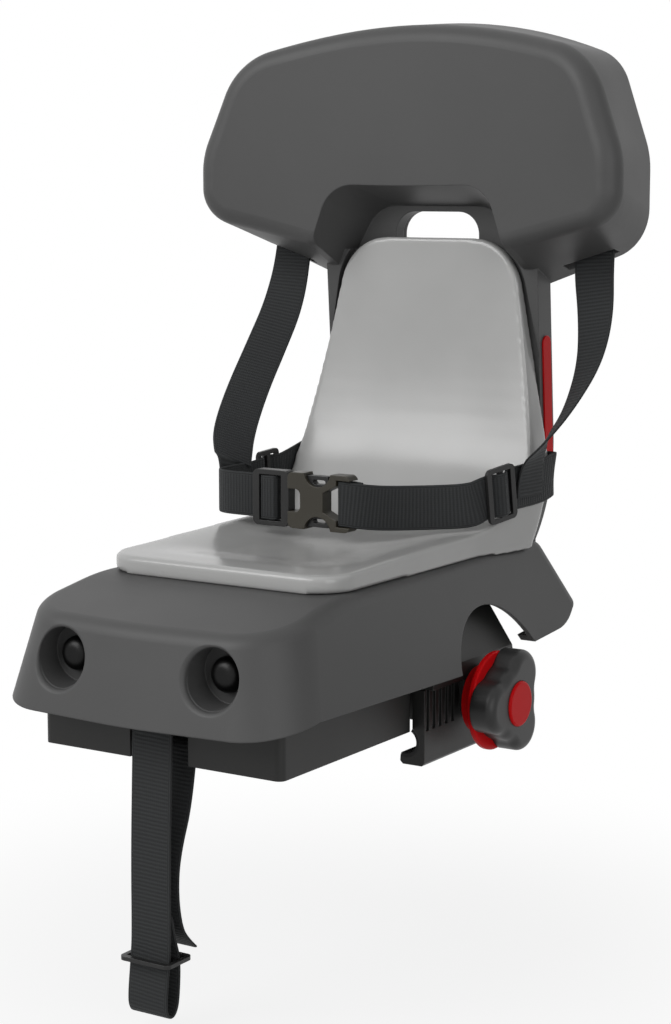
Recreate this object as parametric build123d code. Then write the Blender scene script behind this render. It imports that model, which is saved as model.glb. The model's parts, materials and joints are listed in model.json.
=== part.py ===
from build123d import *
import math
import os

# Junior seat that clamps on a bicycle's rear rack.
# Millimetres, +Z up, +Y to the rear. Left and right are as seen from the front, with +X to the right.
# The origin is the middle of the tray's underside, where the seat stands on the rack.

# Clearances
GAP = 0.3              # air between pieces that move past each other, and round soft pieces
RUNNING = 0.05         # radial clearance of a turning shaft
BOLT_CLEAR = 0.25      # radial clearance of a bolt in its hole

# Rack tray
TRAY_W = 180.0
TRAY_L = 150.0
TRAY_H = 37.0
TRAY_WALL = 3.0
TRAY_FLOOR = 4.0
TRAY_CORNER_R = 5.0
STRAP_NOTCH_W = 44.0   # notch in the tray's front wall for the strap
STRAP_NOTCH_H = 18.0
STRAP_NOTCH_L = 34.0   # how far the notch runs back into the floor
LUG_W = 30.0           # upright ears that the front bolts hold
LUG_T = 8.0

# Seat shell
SHELL_WALL = 3.5
SHELL_TOP_Z = 101.0
SHELL_BASE_Z = 25.0
SHELL_FRONT_BASE_Y = -110.0
SHELL_FRONT_TOP_Y = -94.0
SHELL_BOW = 5.0        # how far the front bulges forward in the middle
SHELL_BOW_R = 500.0
SHELL_FRONT_BASE_HALF = 111.0
SHELL_FRONT_TOP_HALF = 97.5
SHELL_REAR_BASE_HALF = 126.0
SHELL_REAR_TOP_HALF = 91.0
SHELL_TAPER_Y = 110.0  # from here back the sides run straight
SHELL_TAPER_R = 300.0
SHELL_REAR_TOP_Y = 252.0
SHELL_REAR_BASE_Y = 283.0
SHELL_CORNER_R = 42.0
SHELL_REAR_CORNER_R = 16.0
DECK_BREAK_Y = -18.0   # the deck is level behind this line and slopes down before it
DECK_BREAK_R = 160.0
DECK_FRONT_Z = 84.0    # height of the slope where it would meet the foremost point
LIP_FRONT_Z = 27.0
LIP_SIDE_Z = 37.0
LIP_RISE_Y = -66.0
RIM_W = 11.0           # inward rim round the open underside
RIM_T = 4.0
WING_TIP_Y = 190.0
WING_TIP_Z = 42.0
WING_BEND_Y = 238.0
WING_BEND_Z = 45.0
WING_BEND_R = 60.0
WING_REAR_Z = 70.0
DECK_EDGE_R = 11.0
ARCH_R = 54.0          # cut-out over the knob
ARCH_Y = 139.0
ARCH_Z = 19.0
RECESS_X = 56.5        # the two round recesses in the front
RECESS_Z = 62.0
RECESS_D = 37.0
RECESS_WALL = 3.0
RECESS_FLOOR = 4.0
RECESS_MOUTH_R = 4.0

# Front bolts
FRONT_BOLT_D = 8.0
FRONT_HEAD_D = 22.0
FRONT_HEAD_H = 9.0
FRONT_NUT_AF = 13.0
FRONT_NUT_H = 6.5

# Backrest spine
SPINE_HALF = 86.0
SPINE_T = 19.0
SPINE_WALL = 3.5
SPINE_FOOT_Y = 229.0   # front of the spine where it stands on the deck
SPINE_MID_Y = 254.0
SPINE_MID_Z = 172.0
SPINE_TOP_Y = 244.4
SPINE_TOP_Z = 300.0
SPINE_RIB_T = 3.0
SPINE_RIB_Z = (205.0, 245.0)
SPINE_CHANNEL_TOP_Z = 280.0
FOOT_T = 6.0           # plate at the spine's foot that is bolted to the deck

# Headrest
HEAD_REAR_Y = 267.0
HEAD_WALL = 4.0
HEAD_TOP_REAR_Z = 458.0
HEAD_TOP_FRONT_Z = 452.0
HEAD_CROWN_REAR = 28.0  # fall of the top edge from its middle to the shoulder
HEAD_CROWN_FRONT = 16.0
HEAD_HALF = 170.0
HEAD_SIDE_TAPER = 11.0  # how much narrower the headrest is at its rear
HEAD_RIM_DEPTH = 4.0   # what the dish leaves of the headrest's depth at its sides
HEAD_SHOULDER_REAR_IN = 22.0
HEAD_SHOULDER_FRONT_IN = 29.0
HEAD_SIDE_Z = 366.0
HEAD_LOW_REAR_Z = 306.0
HEAD_LOW_FRONT_Z = 326.0
HEAD_FOOT_X = 82.0
HEAD_FOOT_REAR_Z = 277.0
HEAD_FOOT_FRONT_Z = 318.0
HEAD_SHOULDER_REAR_R = 34.0
HEAD_SHOULDER_FRONT_R = 60.0
HEAD_SIDE_R = 60.0
HEAD_LOW_REAR_R = 34.0
HEAD_LOW_FRONT_R = 24.0
HEAD_DISH_Y = 215.0    # the middle of the hollow front face
HEAD_DISH_R = 650.0
HEAD_EDGE_R = 12.0
ARCHWAY_FRONT_Z = 355.0
ARCHWAY_FRONT_TOP_HALF = 71.0
ARCHWAY_FRONT_LOW_HALF = 90.0
ARCHWAY_REAR_Y = 256.0
ARCHWAY_REAR_Z = 331.0
ARCHWAY_REAR_TOP_HALF = 48.0
ARCHWAY_REAR_LOW_HALF = 80.0
ARCHWAY_R = 26.0
HOLE_HALF = 34.0       # carry hole above the pad
HOLE_TOP_Z = 327.0
HOLE_LOW_Z = 290.0
HOLE_R = 16.0
PAD_SHADOW = 4.0       # shadow gap between the pad and the headrest's legs

# Rear cover
COVER_T = 4.0
COVER_INSET = 1.0
COVER_SCREW_D = 4.0
COVER_BOSS_D = 10.0
COVER_SCREW_L = 16.0
COVER_SCREW_HIGH = (84.0, 418.0)
COVER_SCREW_LOW = (132.0, 340.0)

# Seat pad
PAD_FRONT_Y = -17.0
PAD_HALF = 89.0
PAD_REAR_HALF = 97.0
PAD_FRONT_Z = 112.0    # top of the front lip
PAD_SEAT_Y = 158.0     # the seat runs level to here, then bends up
PAD_SEAT_Z = 117.0
PAD_BEND_Y = 226.0     # end of the bend
PAD_BEND_Z = 172.0
PAD_TOP_Y = 243.0
PAD_TOP_Z = 309.0
PAD_BACK_TOP_Y = 251.5
PAD_BACK_MID_Y = 250.0
PAD_BACK_FOOT_Y = 225.0
PAD_CORNER_R = 24.0
PAD_LOW_Z = 150.0
PAD_HIGH_HALF = 72.0
PAD_HIGH_Z = 280.0
PAD_HEAD_HALF = 62.0
PAD_HEAD_R = 38.0
PAD_SIDE_R = 100.0
PAD_SKIRT = 3.0       # how far the pad's edge reaches below the deck

# Webbing and its hardware
WEB_W = 30.0
WEB_T = 1.6
BAR_D = 6.0
BAR_L = 40.0
ANCHOR_RIB_T = 3.0
SHOULDER_IN = 47.0     # from the headrest's side to the middle of a shoulder strap
SHOULDER_Y = 256.0
SHOULDER_BAR_Z = 316.0
LAP_BAR_X = 62.0
LAP_SLOT_X = 76.0
LAP_Z = 148.0
SLOT_T = 8.0
SLOT_L = 40.0
LAP_SLOT_W = 13.0
PAD_TO_SPINE = 4.0     # gap between the pad's back and the spine
SLIDER_W = 38.0
SLIDER_H = 26.0
SLIDER_T = 2.5
SLIDER_BAR_W = 4.0
SLIDER_R = 4.0
LAP_SLIDER_RIGHT = (94.3, 182.0, 141.0)
LAP_SLIDER_RIGHT_RUN = (-0.27, -0.95, -0.16)
LAP_SLIDER_LEFT = (-98.0, 186.0, 139.0)
LAP_SLIDER_LEFT_RUN = (0.0, -1.0, -0.06)
LAP_LEFT_X = 97.0      # where the left lap belt runs forward before it turns to the buckle
LAP_FRONT_Z = 137.0
LAP_SEAM_Y = 144.0     # where the left shoulder strap is sewn on
LAP_SEAM_AT = 0.52     # where the right one is, as a share of the run from the pad's edge to the slider

# Buckle
BUCKLE_Y = 111.0
BUCKLE_Z = 137.0
BUCKLE_H = 38.0
BUCKLE_R = 4.0
BUCKLE_BAR_D = 5.0
SOCKET_X = -27.0       # mouth of the socket
SOCKET_L = 49.0
SOCKET_T = 11.0
SOCKET_WALL = 1.4
SOCKET_WAIST_AT = 23.5
SOCKET_WAIST_R = 10.6
SOCKET_WAIST_DEPTH = 9.0
SOCKET_NOTCH_L = 10.0
SOCKET_NOTCH_H = 15.5
SOCKET_WINDOW_AT = 28.0
SOCKET_WINDOW_H = 13.0
SOCKET_EYE_H = 31.4
SOCKET_BAR_AT = 43.5
SOCKET_CHANNEL_L = 31.6
SOCKET_CHANNEL_LOW = 8.7
SOCKET_CHANNEL_T = 6.0
TONGUE_L = 29.0
TONGUE_T = 8.0
TONGUE_BAR_W = 5.0
TONGUE_BAR_AT = 15.5
TONGUE_ROOT_L = 6.0
PRONG_SLIT_L = 10.0
PRONG_SLIT_W = 3.0

# Front strap
FRONT_STRAP_Y = -80.0
FRONT_STRAP_TOP_Z = 44.0
FRONT_SLIDER_AT = (-5.0, -74.0, -125.0)
FRONT_LOOP_Z = -162.0
TRAY_BAR_Y = -52.0     # bar over the notch in the tray's floor
TRAY_BAR_Z = 11.0
TRAY_BAR_T = 4.0
TRAY_CHEEK_L = 10.0    # cheeks that carry the bar

# Rack clamp
TUBE_R = 8.0           # rack tube that the jaws grip
TUBE_X = 84.0          # tube's middle with the jaws fully open
JAW_PAD_T = 2.0
JAW_L = 106.0
JAW_FRONT_Y = 76.0
JAW_OUT_X = 98.0
JAW_TOP_Z = 27.0
JAW_HOOK_X = 80.0
JAW_BASE_Z = -23.0
JAW_LIP_ANGLE = 112.0  # how far the trough wraps under the tube
JAW_CREST_ANGLE = 60.0
TONGUE_BLOCK_IN_X = 40.0
TONGUE_BLOCK_W = 68.0
TONGUE_BLOCK_LOW_Z = 1.0
JAW_GROOVE_COUNT = 5
JAW_GROOVE_W = 4.0
JAW_GROOVE_D = 2.0
SPINDLE_D = 10.0
SPINDLE_Y = 130.0
SPINDLE_Z = 13.0
JAW_NUT_AF = 17.0
JAW_NUT_L = 12.0
HOUSING_WALL = 4.0
HOUSING_LOW_Z = 28.0
HOUSING_SHOULDER_Z = 40.0
HOUSING_TOP_Z = 74.0
HOUSING_HALF = 105.0
HOUSING_TOP_HALF = 88.0
HOUSING_L = 108.0
HOUSING_REAR_SLANT = 12.0
CHANNEL_HALF = 64.0
CHANNEL_WALL = 4.0
LUG_R = 15.0
COLLAR_D = 65.0
COLLAR_T = 4.0
COLLAR_BOSS_D = 44.0
COLLAR_BOSS_L = 10.0
WASHER_D = 24.0
WASHER_T = 1.5
KNOB_T = 17.0
KNOB_LOBE_R = 17.0
KNOB_LOBE_AT = 19.0
KNOB_CORE_R = 25.0
KNOB_WAIST_R = 12.0
KNOB_EDGE_R = 6.0
KNOB_FRONT_LOBE = 180.0
CAP_D = 30.0
CAP_T = 4.0
CAP_PROUD = 1.5
CLIP_D = 19.0
CLIP_T = 1.6
RETAINER_TAIL = 4.0    # end of the spindle past its clip

# Fasteners
TRAY_SCREW_D = 5.0
TRAY_SCREW_X = 56.0
TRAY_SCREW_L = 12.0
HOUSING_SCREW_D = 5.0
HOUSING_SCREW_X = 70.0
HOUSING_SCREW_INSET = 15.0
HOUSING_SCREW_L = 18.0
BOSS_D = 13.0
FOOT_BOLT_D = 5.0
FOOT_BOLT_X = (30.0, 66.0)
FOOT_BOLT_L = 19.0
FOOT_NUT_AF = 8.0
FOOT_NUT_H = 4.0
FOOT_BOSS_D = 11.0
FOOT_BOSS_H = 4.0

# Side badge
BADGE_L = 90.0
BADGE_W = 11.0
BADGE_T = 1.2
BADGE_Z = 197.5

# Worked out from the sizes above
TRAY_FRONT_Y = -TRAY_L / 2
TRAY_REAR_Y = TRAY_L / 2
COLLAR_X = HOUSING_HALF + GAP + WASHER_T
KNOB_X = COLLAR_X + COLLAR_BOSS_L + COLLAR_T
CAP_X = KNOB_X + KNOB_T - CAP_T + CAP_PROUD
JAW_PAD_R = TUBE_R + JAW_PAD_T
HOUSING_FRONT_Y = TRAY_REAR_Y
HOUSING_REAR_Y = HOUSING_FRONT_Y + HOUSING_L
HOUSING_SCREW_Y = (HOUSING_FRONT_Y + HOUSING_SCREW_INSET, HOUSING_REAR_Y - 2 * HOUSING_SCREW_INSET)
DECK_UNDER_Z = SHELL_TOP_Z - SHELL_WALL
FOOT_BOLT_Y = SPINE_FOOT_Y + SPINE_T - FOOT_BOSS_D / 2
HEAD_REAR_HALF = HEAD_HALF - HEAD_SIDE_TAPER
HEAD_FRONT_Y = HEAD_DISH_Y - HEAD_DISH_R + math.sqrt(HEAD_DISH_R ** 2 - HEAD_HALF ** 2) - HEAD_RIM_DEPTH
SHOULDER_X = HEAD_HALF - SHOULDER_IN
WIDE = 400.0           # longer than any cut


def nearest(vertices, point):
    return min(vertices, key=lambda vertex: (Vector(vertex) - Vector(point)).length)


def rounded(outline, corners):
    for point, radius in corners:
        outline = fillet(nearest(outline.vertices(), point), radius)
    return outline


def mirrored_outline(right_side):
    left_side = [(-x, y) for x, y in reversed(right_side) if x > 0]
    return Polygon(*right_side, *left_side, align=None)


def both_sides(corners):
    mirrored = [((-x, y), radius) for (x, y), radius in corners]
    return corners + mirrored


def frontal(y):
    # Plane that faces the front, with X to the right and Z up
    return Plane(origin=(0, y, 0), x_dir=(1, 0, 0), z_dir=(0, -1, 0))


def sideways(x):
    # Plane that faces +X, with Y to the right and Z up
    return Plane(origin=(x, 0, 0), x_dir=(0, 1, 0), z_dir=(1, 0, 0))


def rod(start, end, diameter):
    start = Vector(start)
    run = Vector(end) - start
    plane = Plane(origin=start, z_dir=run)
    return extrude(plane * Circle(diameter / 2), amount=run.length)


def slab(low, high):
    size = Vector(high) - Vector(low)
    middle = (Vector(high) + Vector(low)) * 0.5
    return Pos(middle) * Box(size.X, size.Y, size.Z)


def hexagon(across_flats):
    return RegularPolygon(across_flats / 2, 6, major_radius=False)




def screw(head_at, direction, diameter, length):
    # Pan-headed screw: the head bears at head_at and the shank runs along direction
    plane = Plane(origin=head_at, z_dir=direction)
    shank = extrude(plane * Circle(diameter / 2), amount=length)
    head = extrude(plane * Circle(diameter * 0.9), amount=-diameter * 0.6)
    crown = head.edges().sort_by(Axis(head_at, direction))[0]
    return shank + fillet(crown, diameter * 0.25)


def nut(at, direction, across_flats, bore, height):
    plane = Plane(origin=at, z_dir=direction)
    return extrude(plane * (hexagon(across_flats) - Circle(bore / 2)), amount=height)


# Seat shell


def shell_plan(z, front_y, front_half, rear_y, rear_half, inset):
    nose = (0, front_y + inset)
    corner = (front_half - inset, front_y + SHELL_BOW + inset)
    taper = (rear_half - inset, SHELL_TAPER_Y)
    rear = (rear_half - inset, rear_y - inset)
    outline = mirrored_outline([nose, corner, taper, rear])
    corners = both_sides(
        [
            (corner, SHELL_CORNER_R - inset),
            (taper, SHELL_TAPER_R),
            (rear, SHELL_REAR_CORNER_R - inset),
        ]
    )
    return Pos(0, 0, z) * rounded(outline, corners + [(nose, SHELL_BOW_R)])


def shell_walls(inset):
    base = shell_plan(
        SHELL_BASE_Z,
        SHELL_FRONT_BASE_Y,
        SHELL_FRONT_BASE_HALF,
        SHELL_REAR_BASE_Y,
        SHELL_REAR_BASE_HALF,
        inset,
    )
    top = shell_plan(
        SHELL_TOP_Z,
        SHELL_FRONT_TOP_Y,
        SHELL_FRONT_TOP_HALF,
        SHELL_REAR_TOP_Y,
        SHELL_REAR_TOP_HALF,
        inset,
    )
    return loft([base.face(), top.face()], ruled=True)


def shell_side_profile(inset, lift):
    far_front = SHELL_FRONT_BASE_Y - SHELL_WALL
    slope = (SHELL_TOP_Z - DECK_FRONT_Z) / (DECK_BREAK_Y - SHELL_FRONT_BASE_Y)
    front_z = SHELL_TOP_Z - slope * (DECK_BREAK_Y - far_front)
    outline = Polygon(
        (far_front, LIP_FRONT_Z + lift),
        (LIP_RISE_Y, LIP_SIDE_Z + lift),
        (ARCH_Y, LIP_SIDE_Z + lift),
        (WING_TIP_Y, WING_TIP_Z + lift),
        (WING_BEND_Y, WING_BEND_Z + lift),
        (SHELL_REAR_BASE_Y, WING_REAR_Z + lift),
        (SHELL_REAR_BASE_Y, SHELL_TOP_Z - inset),
        (DECK_BREAK_Y, SHELL_TOP_Z - inset),
        (far_front, front_z - inset),
        align=None,
    )
    corners = [
        ((WING_BEND_Y, WING_BEND_Z + lift), WING_BEND_R),
        ((DECK_BREAK_Y, SHELL_TOP_Z - inset), DECK_BREAK_R),
    ]
    return extrude(Plane.YZ * rounded(outline, corners), amount=WIDE / 2, both=True)


def deck_rim(form):
    # Edges round the deck, without the creases across it
    decks = [face for face in form.faces() if face.normal_at().Z > 0.9]
    rim = []
    for deck in decks:
        others = [face for face in decks if face is not deck]
        for edge in deck.edges():
            if not any(edge in face.edges() for face in others):
                rim.append(edge)
    return rim


def shell_form(inset, lift):
    form = shell_walls(inset) & shell_side_profile(inset, lift)
    return fillet(deck_rim(form), DECK_EDGE_R - inset)


def make_seat_shell(outer):
    hollow = shell_form(SHELL_WALL, RIM_T)
    opening = shell_walls(RIM_W) & shell_side_profile(SHELL_WALL, -RIM_T)
    shell = outer - hollow - opening
    inside = hollow + opening
    arch = Plane.YZ * Pos(ARCH_Y, ARCH_Z) * Circle(ARCH_R)
    shell -= extrude(arch, amount=WIDE)
    # Ribs that stand on the tray's side walls
    for side in (-1, 1):
        edge_x = side * TRAY_W / 2
        rib = slab(
            (min(edge_x, edge_x - side * TRAY_WALL), TRAY_FRONT_Y + LUG_T, TRAY_H),
            (max(edge_x, edge_x - side * TRAY_WALL), TRAY_REAR_Y, SHELL_TOP_Z),
        )
        shell += rib & inside
    # Bosses for the clamp housing
    for x in (-HOUSING_SCREW_X, HOUSING_SCREW_X):
        for y in HOUSING_SCREW_Y:
            boss = rod((x, y, HOUSING_TOP_Z), (x, y, SHELL_TOP_Z), BOSS_D)
            shell += boss & inside
            shell -= rod((x, y, HOUSING_TOP_Z - 1), (x, y, DECK_UNDER_Z), HOUSING_SCREW_D + 2 * RUNNING)
    # Ribs that hold the front strap's bar
    bar_y = front_bar_ends()[0][1]
    for side in (-1, 1):
        x = side * (BAR_L - ANCHOR_RIB_T) / 2
        rib = slab(
            (x - ANCHOR_RIB_T / 2, -WIDE, FRONT_STRAP_TOP_Z - BAR_D),
            (x + ANCHOR_RIB_T / 2, bar_y + BAR_D, SHELL_TOP_Z),
        )
        shell += rib & inside
    shell -= make_front_strap_bar(RUNNING)
    # Cups of the two front recesses
    recess_back = TRAY_FRONT_Y
    for x in (-RECESS_X, RECESS_X):
        cup_r = RECESS_D / 2 + RECESS_WALL
        shell += rod((x, recess_back, RECESS_Z), (x, -WIDE, RECESS_Z), 2 * cup_r) & outer
        shell -= rod((x, recess_back - RECESS_FLOOR, RECESS_Z), (x, -WIDE, RECESS_Z), RECESS_D)
        shell -= rod((x, 0, RECESS_Z), (x, -WIDE, RECESS_Z), FRONT_BOLT_D + 2 * BOLT_CLEAR)
        shell -= recess_flare(math.copysign(1, x))
    # Holes for the bolts through the spine's foot
    for x in foot_bolt_xs():
        boss = rod((x, FOOT_BOLT_Y, DECK_UNDER_Z - FOOT_BOSS_H), (x, FOOT_BOLT_Y, DECK_UNDER_Z), FOOT_BOSS_D)
        shell += boss & inside
        shell -= rod((x, FOOT_BOLT_Y, 0), (x, FOOT_BOLT_Y, WIDE), FOOT_BOLT_D + 2 * BOLT_CLEAR)
    return shell


def recess_flare(side):
    # Rounded lip of a recess, square to the front face
    rise = SHELL_TOP_Z - SHELL_BASE_Z
    lean = (SHELL_FRONT_TOP_Y - SHELL_FRONT_BASE_Y) / rise
    sweep = SHELL_BOW / SHELL_FRONT_BASE_HALF
    face_y = SHELL_FRONT_BASE_Y + lean * (RECESS_Z - SHELL_BASE_Z) + sweep * RECESS_X
    plane = Plane(origin=(side * RECESS_X, face_y, RECESS_Z), z_dir=(side * sweep, -1, lean))
    mouth = RECESS_D / 2 + RECESS_MOUTH_R
    arc_mid = RECESS_MOUTH_R * (1 - math.sqrt(0.5))
    with BuildSketch(Plane.XZ) as section:
        with BuildLine():
            Polyline((0, -RECESS_MOUTH_R), (0, RECESS_MOUTH_R), (mouth, RECESS_MOUTH_R), (mouth, 0))
            ThreePointArc(
                (mouth, 0),
                (RECESS_D / 2 + arc_mid, -arc_mid),
                (RECESS_D / 2, -RECESS_MOUTH_R),
            )
            Line((RECESS_D / 2, -RECESS_MOUTH_R), (0, -RECESS_MOUTH_R))
        make_face()
    return plane * revolve(section.sketch, Axis.Z)


def foot_bolt_xs():
    return [side * x for side in (-1, 1) for x in FOOT_BOLT_X]


# Tray and its fasteners


def make_rack_tray():
    outer = extrude(RectangleRounded(TRAY_W, TRAY_L, TRAY_CORNER_R), amount=TRAY_H)
    hollow = extrude(
        Pos(0, 0, TRAY_FLOOR)
        * RectangleRounded(TRAY_W - 2 * TRAY_WALL, TRAY_L - 2 * TRAY_WALL, TRAY_CORNER_R - TRAY_WALL),
        amount=TRAY_H,
    )
    tray = outer - hollow
    notch_half = STRAP_NOTCH_W / 2
    tray -= slab((-notch_half, TRAY_FRONT_Y - 1, -1), (notch_half, TRAY_FRONT_Y + STRAP_NOTCH_L, STRAP_NOTCH_H))
    bar_half = TRAY_BAR_T / 2
    cheek_half = notch_half + TRAY_WALL
    carrier = slab(
        (-cheek_half, TRAY_BAR_Y - TRAY_CHEEK_L / 2, 0),
        (cheek_half, TRAY_BAR_Y + TRAY_CHEEK_L / 2, TRAY_BAR_Z + TRAY_BAR_T),
    )
    tray += carrier - slab((-notch_half, -WIDE, -1), (notch_half, WIDE, WIDE))
    tray += slab(
        (-notch_half, TRAY_BAR_Y - bar_half, TRAY_BAR_Z - bar_half),
        (notch_half, TRAY_BAR_Y + bar_half, TRAY_BAR_Z + bar_half),
    )
    for x in (-RECESS_X, RECESS_X):
        lug = slab(
            (x - LUG_W / 2, TRAY_FRONT_Y, TRAY_FLOOR),
            (x + LUG_W / 2, TRAY_FRONT_Y + LUG_T, RECESS_Z),
        )
        tray += lug
        tray += rod((x, TRAY_FRONT_Y, RECESS_Z), (x, TRAY_FRONT_Y + LUG_T, RECESS_Z), LUG_W)
        tray -= rod((x, -WIDE, RECESS_Z), (x, 0, RECESS_Z), FRONT_BOLT_D + 2 * BOLT_CLEAR)
    for x in (-TRAY_SCREW_X, TRAY_SCREW_X):
        tray -= rod((x, 0, tray_screw_z()), (x, WIDE, tray_screw_z()), TRAY_SCREW_D + 2 * BOLT_CLEAR)
    return tray


def tray_screw_z():
    return (HOUSING_LOW_Z + TRAY_H) / 2


def make_tray_screws():
    seat_y = TRAY_REAR_Y - TRAY_WALL
    places = [(side * TRAY_SCREW_X, seat_y, tray_screw_z()) for side in (-1, 1)]
    return [screw(place, (0, 1, 0), TRAY_SCREW_D, TRAY_SCREW_L) for place in places]


def make_front_bolts():
    bolts = []
    seat_y = TRAY_FRONT_Y - RECESS_FLOOR
    for x in (-RECESS_X, RECESS_X):
        plane = Plane(origin=(x, seat_y, RECESS_Z), z_dir=(0, -1, 0))
        head = extrude(plane * Circle(FRONT_HEAD_D / 2), amount=FRONT_HEAD_H)
        crown = head.edges().sort_by(Axis.Y)[0]
        head = fillet(crown, FRONT_HEAD_H * 0.8)
        shank_end = TRAY_FRONT_Y + LUG_T + FRONT_NUT_H + 2
        bolts.append(head + rod((x, seat_y, RECESS_Z), (x, shank_end, RECESS_Z), FRONT_BOLT_D))
    return bolts


def make_front_nuts():
    at_y = TRAY_FRONT_Y + LUG_T
    bore = FRONT_BOLT_D + 2 * RUNNING
    return [nut((x, at_y, RECESS_Z), (0, 1, 0), FRONT_NUT_AF, bore, FRONT_NUT_H) for x in (-RECESS_X, RECESS_X)]


# Backrest spine and headrest


def spine_outline(shift, low_z):
    # Side view of the spine: an arc up from the foot, then a straight run to the headrest
    foot = (SPINE_FOOT_Y + shift, SHELL_TOP_Z)
    middle = (SPINE_MID_Y + shift, SPINE_MID_Z)
    top = (SPINE_TOP_Y + shift, SPINE_TOP_Z)
    rear = (SPINE_T, 0)
    run = (SPINE_MID_Y - SPINE_TOP_Y, SPINE_MID_Z - SPINE_TOP_Z)
    base = (foot[0], low_z)
    shifted = [(y + rear[0], z) for y, z in (base, foot, middle, top)]
    with BuildSketch(Plane.YZ) as sketch:
        with BuildLine():
            Line(base, foot)
            TangentArc(middle, foot, tangent=run)
            Line(middle, top)
            Line(top, shifted[3])
            Line(shifted[3], shifted[2])
            TangentArc(shifted[2], shifted[1], tangent=run)
            Line(shifted[1], shifted[0])
            Line(shifted[0], base)
        make_face()
    return sketch.sketch


def spine_slab(half, shift, low_z):
    return extrude(spine_outline(shift, low_z), amount=half, both=True)


def head_section(y, top_z, crown, side_half, shoulder_in, shoulder_r, low_z, low_r, foot_z, inset):
    shoulder = (side_half - shoulder_in - inset, top_z - crown - inset)
    side = (side_half - inset, HEAD_SIDE_Z)
    low = (side_half - inset, low_z + inset)
    foot = (HEAD_FOOT_X - inset, foot_z + inset)
    with BuildSketch() as sketch:
        with BuildLine():
            ThreePointArc((-shoulder[0], shoulder[1]), (0, top_z - inset), shoulder)
            Polyline(shoulder, side, low, foot, (-foot[0], foot[1]), (-low[0], low[1]), (-side[0], side[1]))
            Line((-side[0], side[1]), (-shoulder[0], shoulder[1]))
        make_face()
    corners = [
        (shoulder, shoulder_r - inset),
        (side, HEAD_SIDE_R),
        (low, low_r - inset),
    ]
    return frontal(y) * rounded(sketch.sketch, both_sides(corners))


def head_rear_section(y, inset):
    return head_section(
        y,
        HEAD_TOP_REAR_Z,
        HEAD_CROWN_REAR,
        HEAD_REAR_HALF,
        HEAD_SHOULDER_REAR_IN,
        HEAD_SHOULDER_REAR_R,
        HEAD_LOW_REAR_Z,
        HEAD_LOW_REAR_R,
        HEAD_FOOT_REAR_Z,
        inset,
    )


def head_front_section(inset):
    return head_section(
        HEAD_FRONT_Y,
        HEAD_TOP_FRONT_Z,
        HEAD_CROWN_FRONT,
        HEAD_HALF,
        HEAD_SHOULDER_FRONT_IN,
        HEAD_SHOULDER_FRONT_R,
        HEAD_LOW_FRONT_Z,
        HEAD_LOW_FRONT_R,
        HEAD_FOOT_FRONT_Z,
        inset,
    )


def head_form(inset, rear_y):
    rear = head_rear_section(rear_y, inset)
    front = head_front_section(inset)
    band = loft([rear.face(), front.face()], ruled=True)
    dish = Pos(0, HEAD_DISH_Y + inset - HEAD_DISH_R, 0) * Cylinder(HEAD_DISH_R, 4 * WIDE)
    form = band - dish
    front_rim = [edge for edge in form.edges() if edge.center().Y < HEAD_DISH_Y + inset + 1]
    return fillet(front_rim, HEAD_EDGE_R - inset)


def hood(outset):
    # Tapered arch over the pad's top that narrows towards the carry hole
    sections = []
    for y, top_z, top_half, low_half in (
        (HEAD_FRONT_Y - 1, ARCHWAY_FRONT_Z, ARCHWAY_FRONT_TOP_HALF, ARCHWAY_FRONT_LOW_HALF),
        (ARCHWAY_REAR_Y + outset, ARCHWAY_REAR_Z, ARCHWAY_REAR_TOP_HALF, ARCHWAY_REAR_LOW_HALF),
    ):
        top = (top_half + outset, top_z + outset)
        low = (low_half + outset, HEAD_FOOT_REAR_Z - 2 * outset)
        outline = rounded(mirrored_outline([top, low]), both_sides([(top, ARCHWAY_R + outset)]))
        sections.append((frontal(y) * outline).face())
    return loft(sections, ruled=True)


def carry_hole(outset):
    height = HOLE_TOP_Z - HOLE_LOW_Z + 2 * outset
    outline = RectangleRounded(2 * (HOLE_HALF + outset), height, HOLE_R + outset)
    middle = Pos(0, (HOLE_TOP_Z + HOLE_LOW_Z) / 2)
    return extrude(frontal(HEAD_FRONT_Y) * middle * outline, amount=-WIDE)


def pad_front_outline(outset):
    # Front view of the pad's back
    base = (PAD_REAR_HALF + outset, 0)
    low = (PAD_REAR_HALF + outset, PAD_LOW_Z)
    high = (PAD_HIGH_HALF + outset, PAD_HIGH_Z)
    head = (PAD_HEAD_HALF + outset, PAD_TOP_Z + outset)
    outline = mirrored_outline([base, low, high, head])
    corners = [(head, PAD_HEAD_R + outset), (low, PAD_SIDE_R)]
    return rounded(outline, both_sides(corners))


def pad_prism(outset):
    return extrude(frontal(-WIDE) * pad_front_outline(outset), amount=-2 * WIDE)


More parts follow.
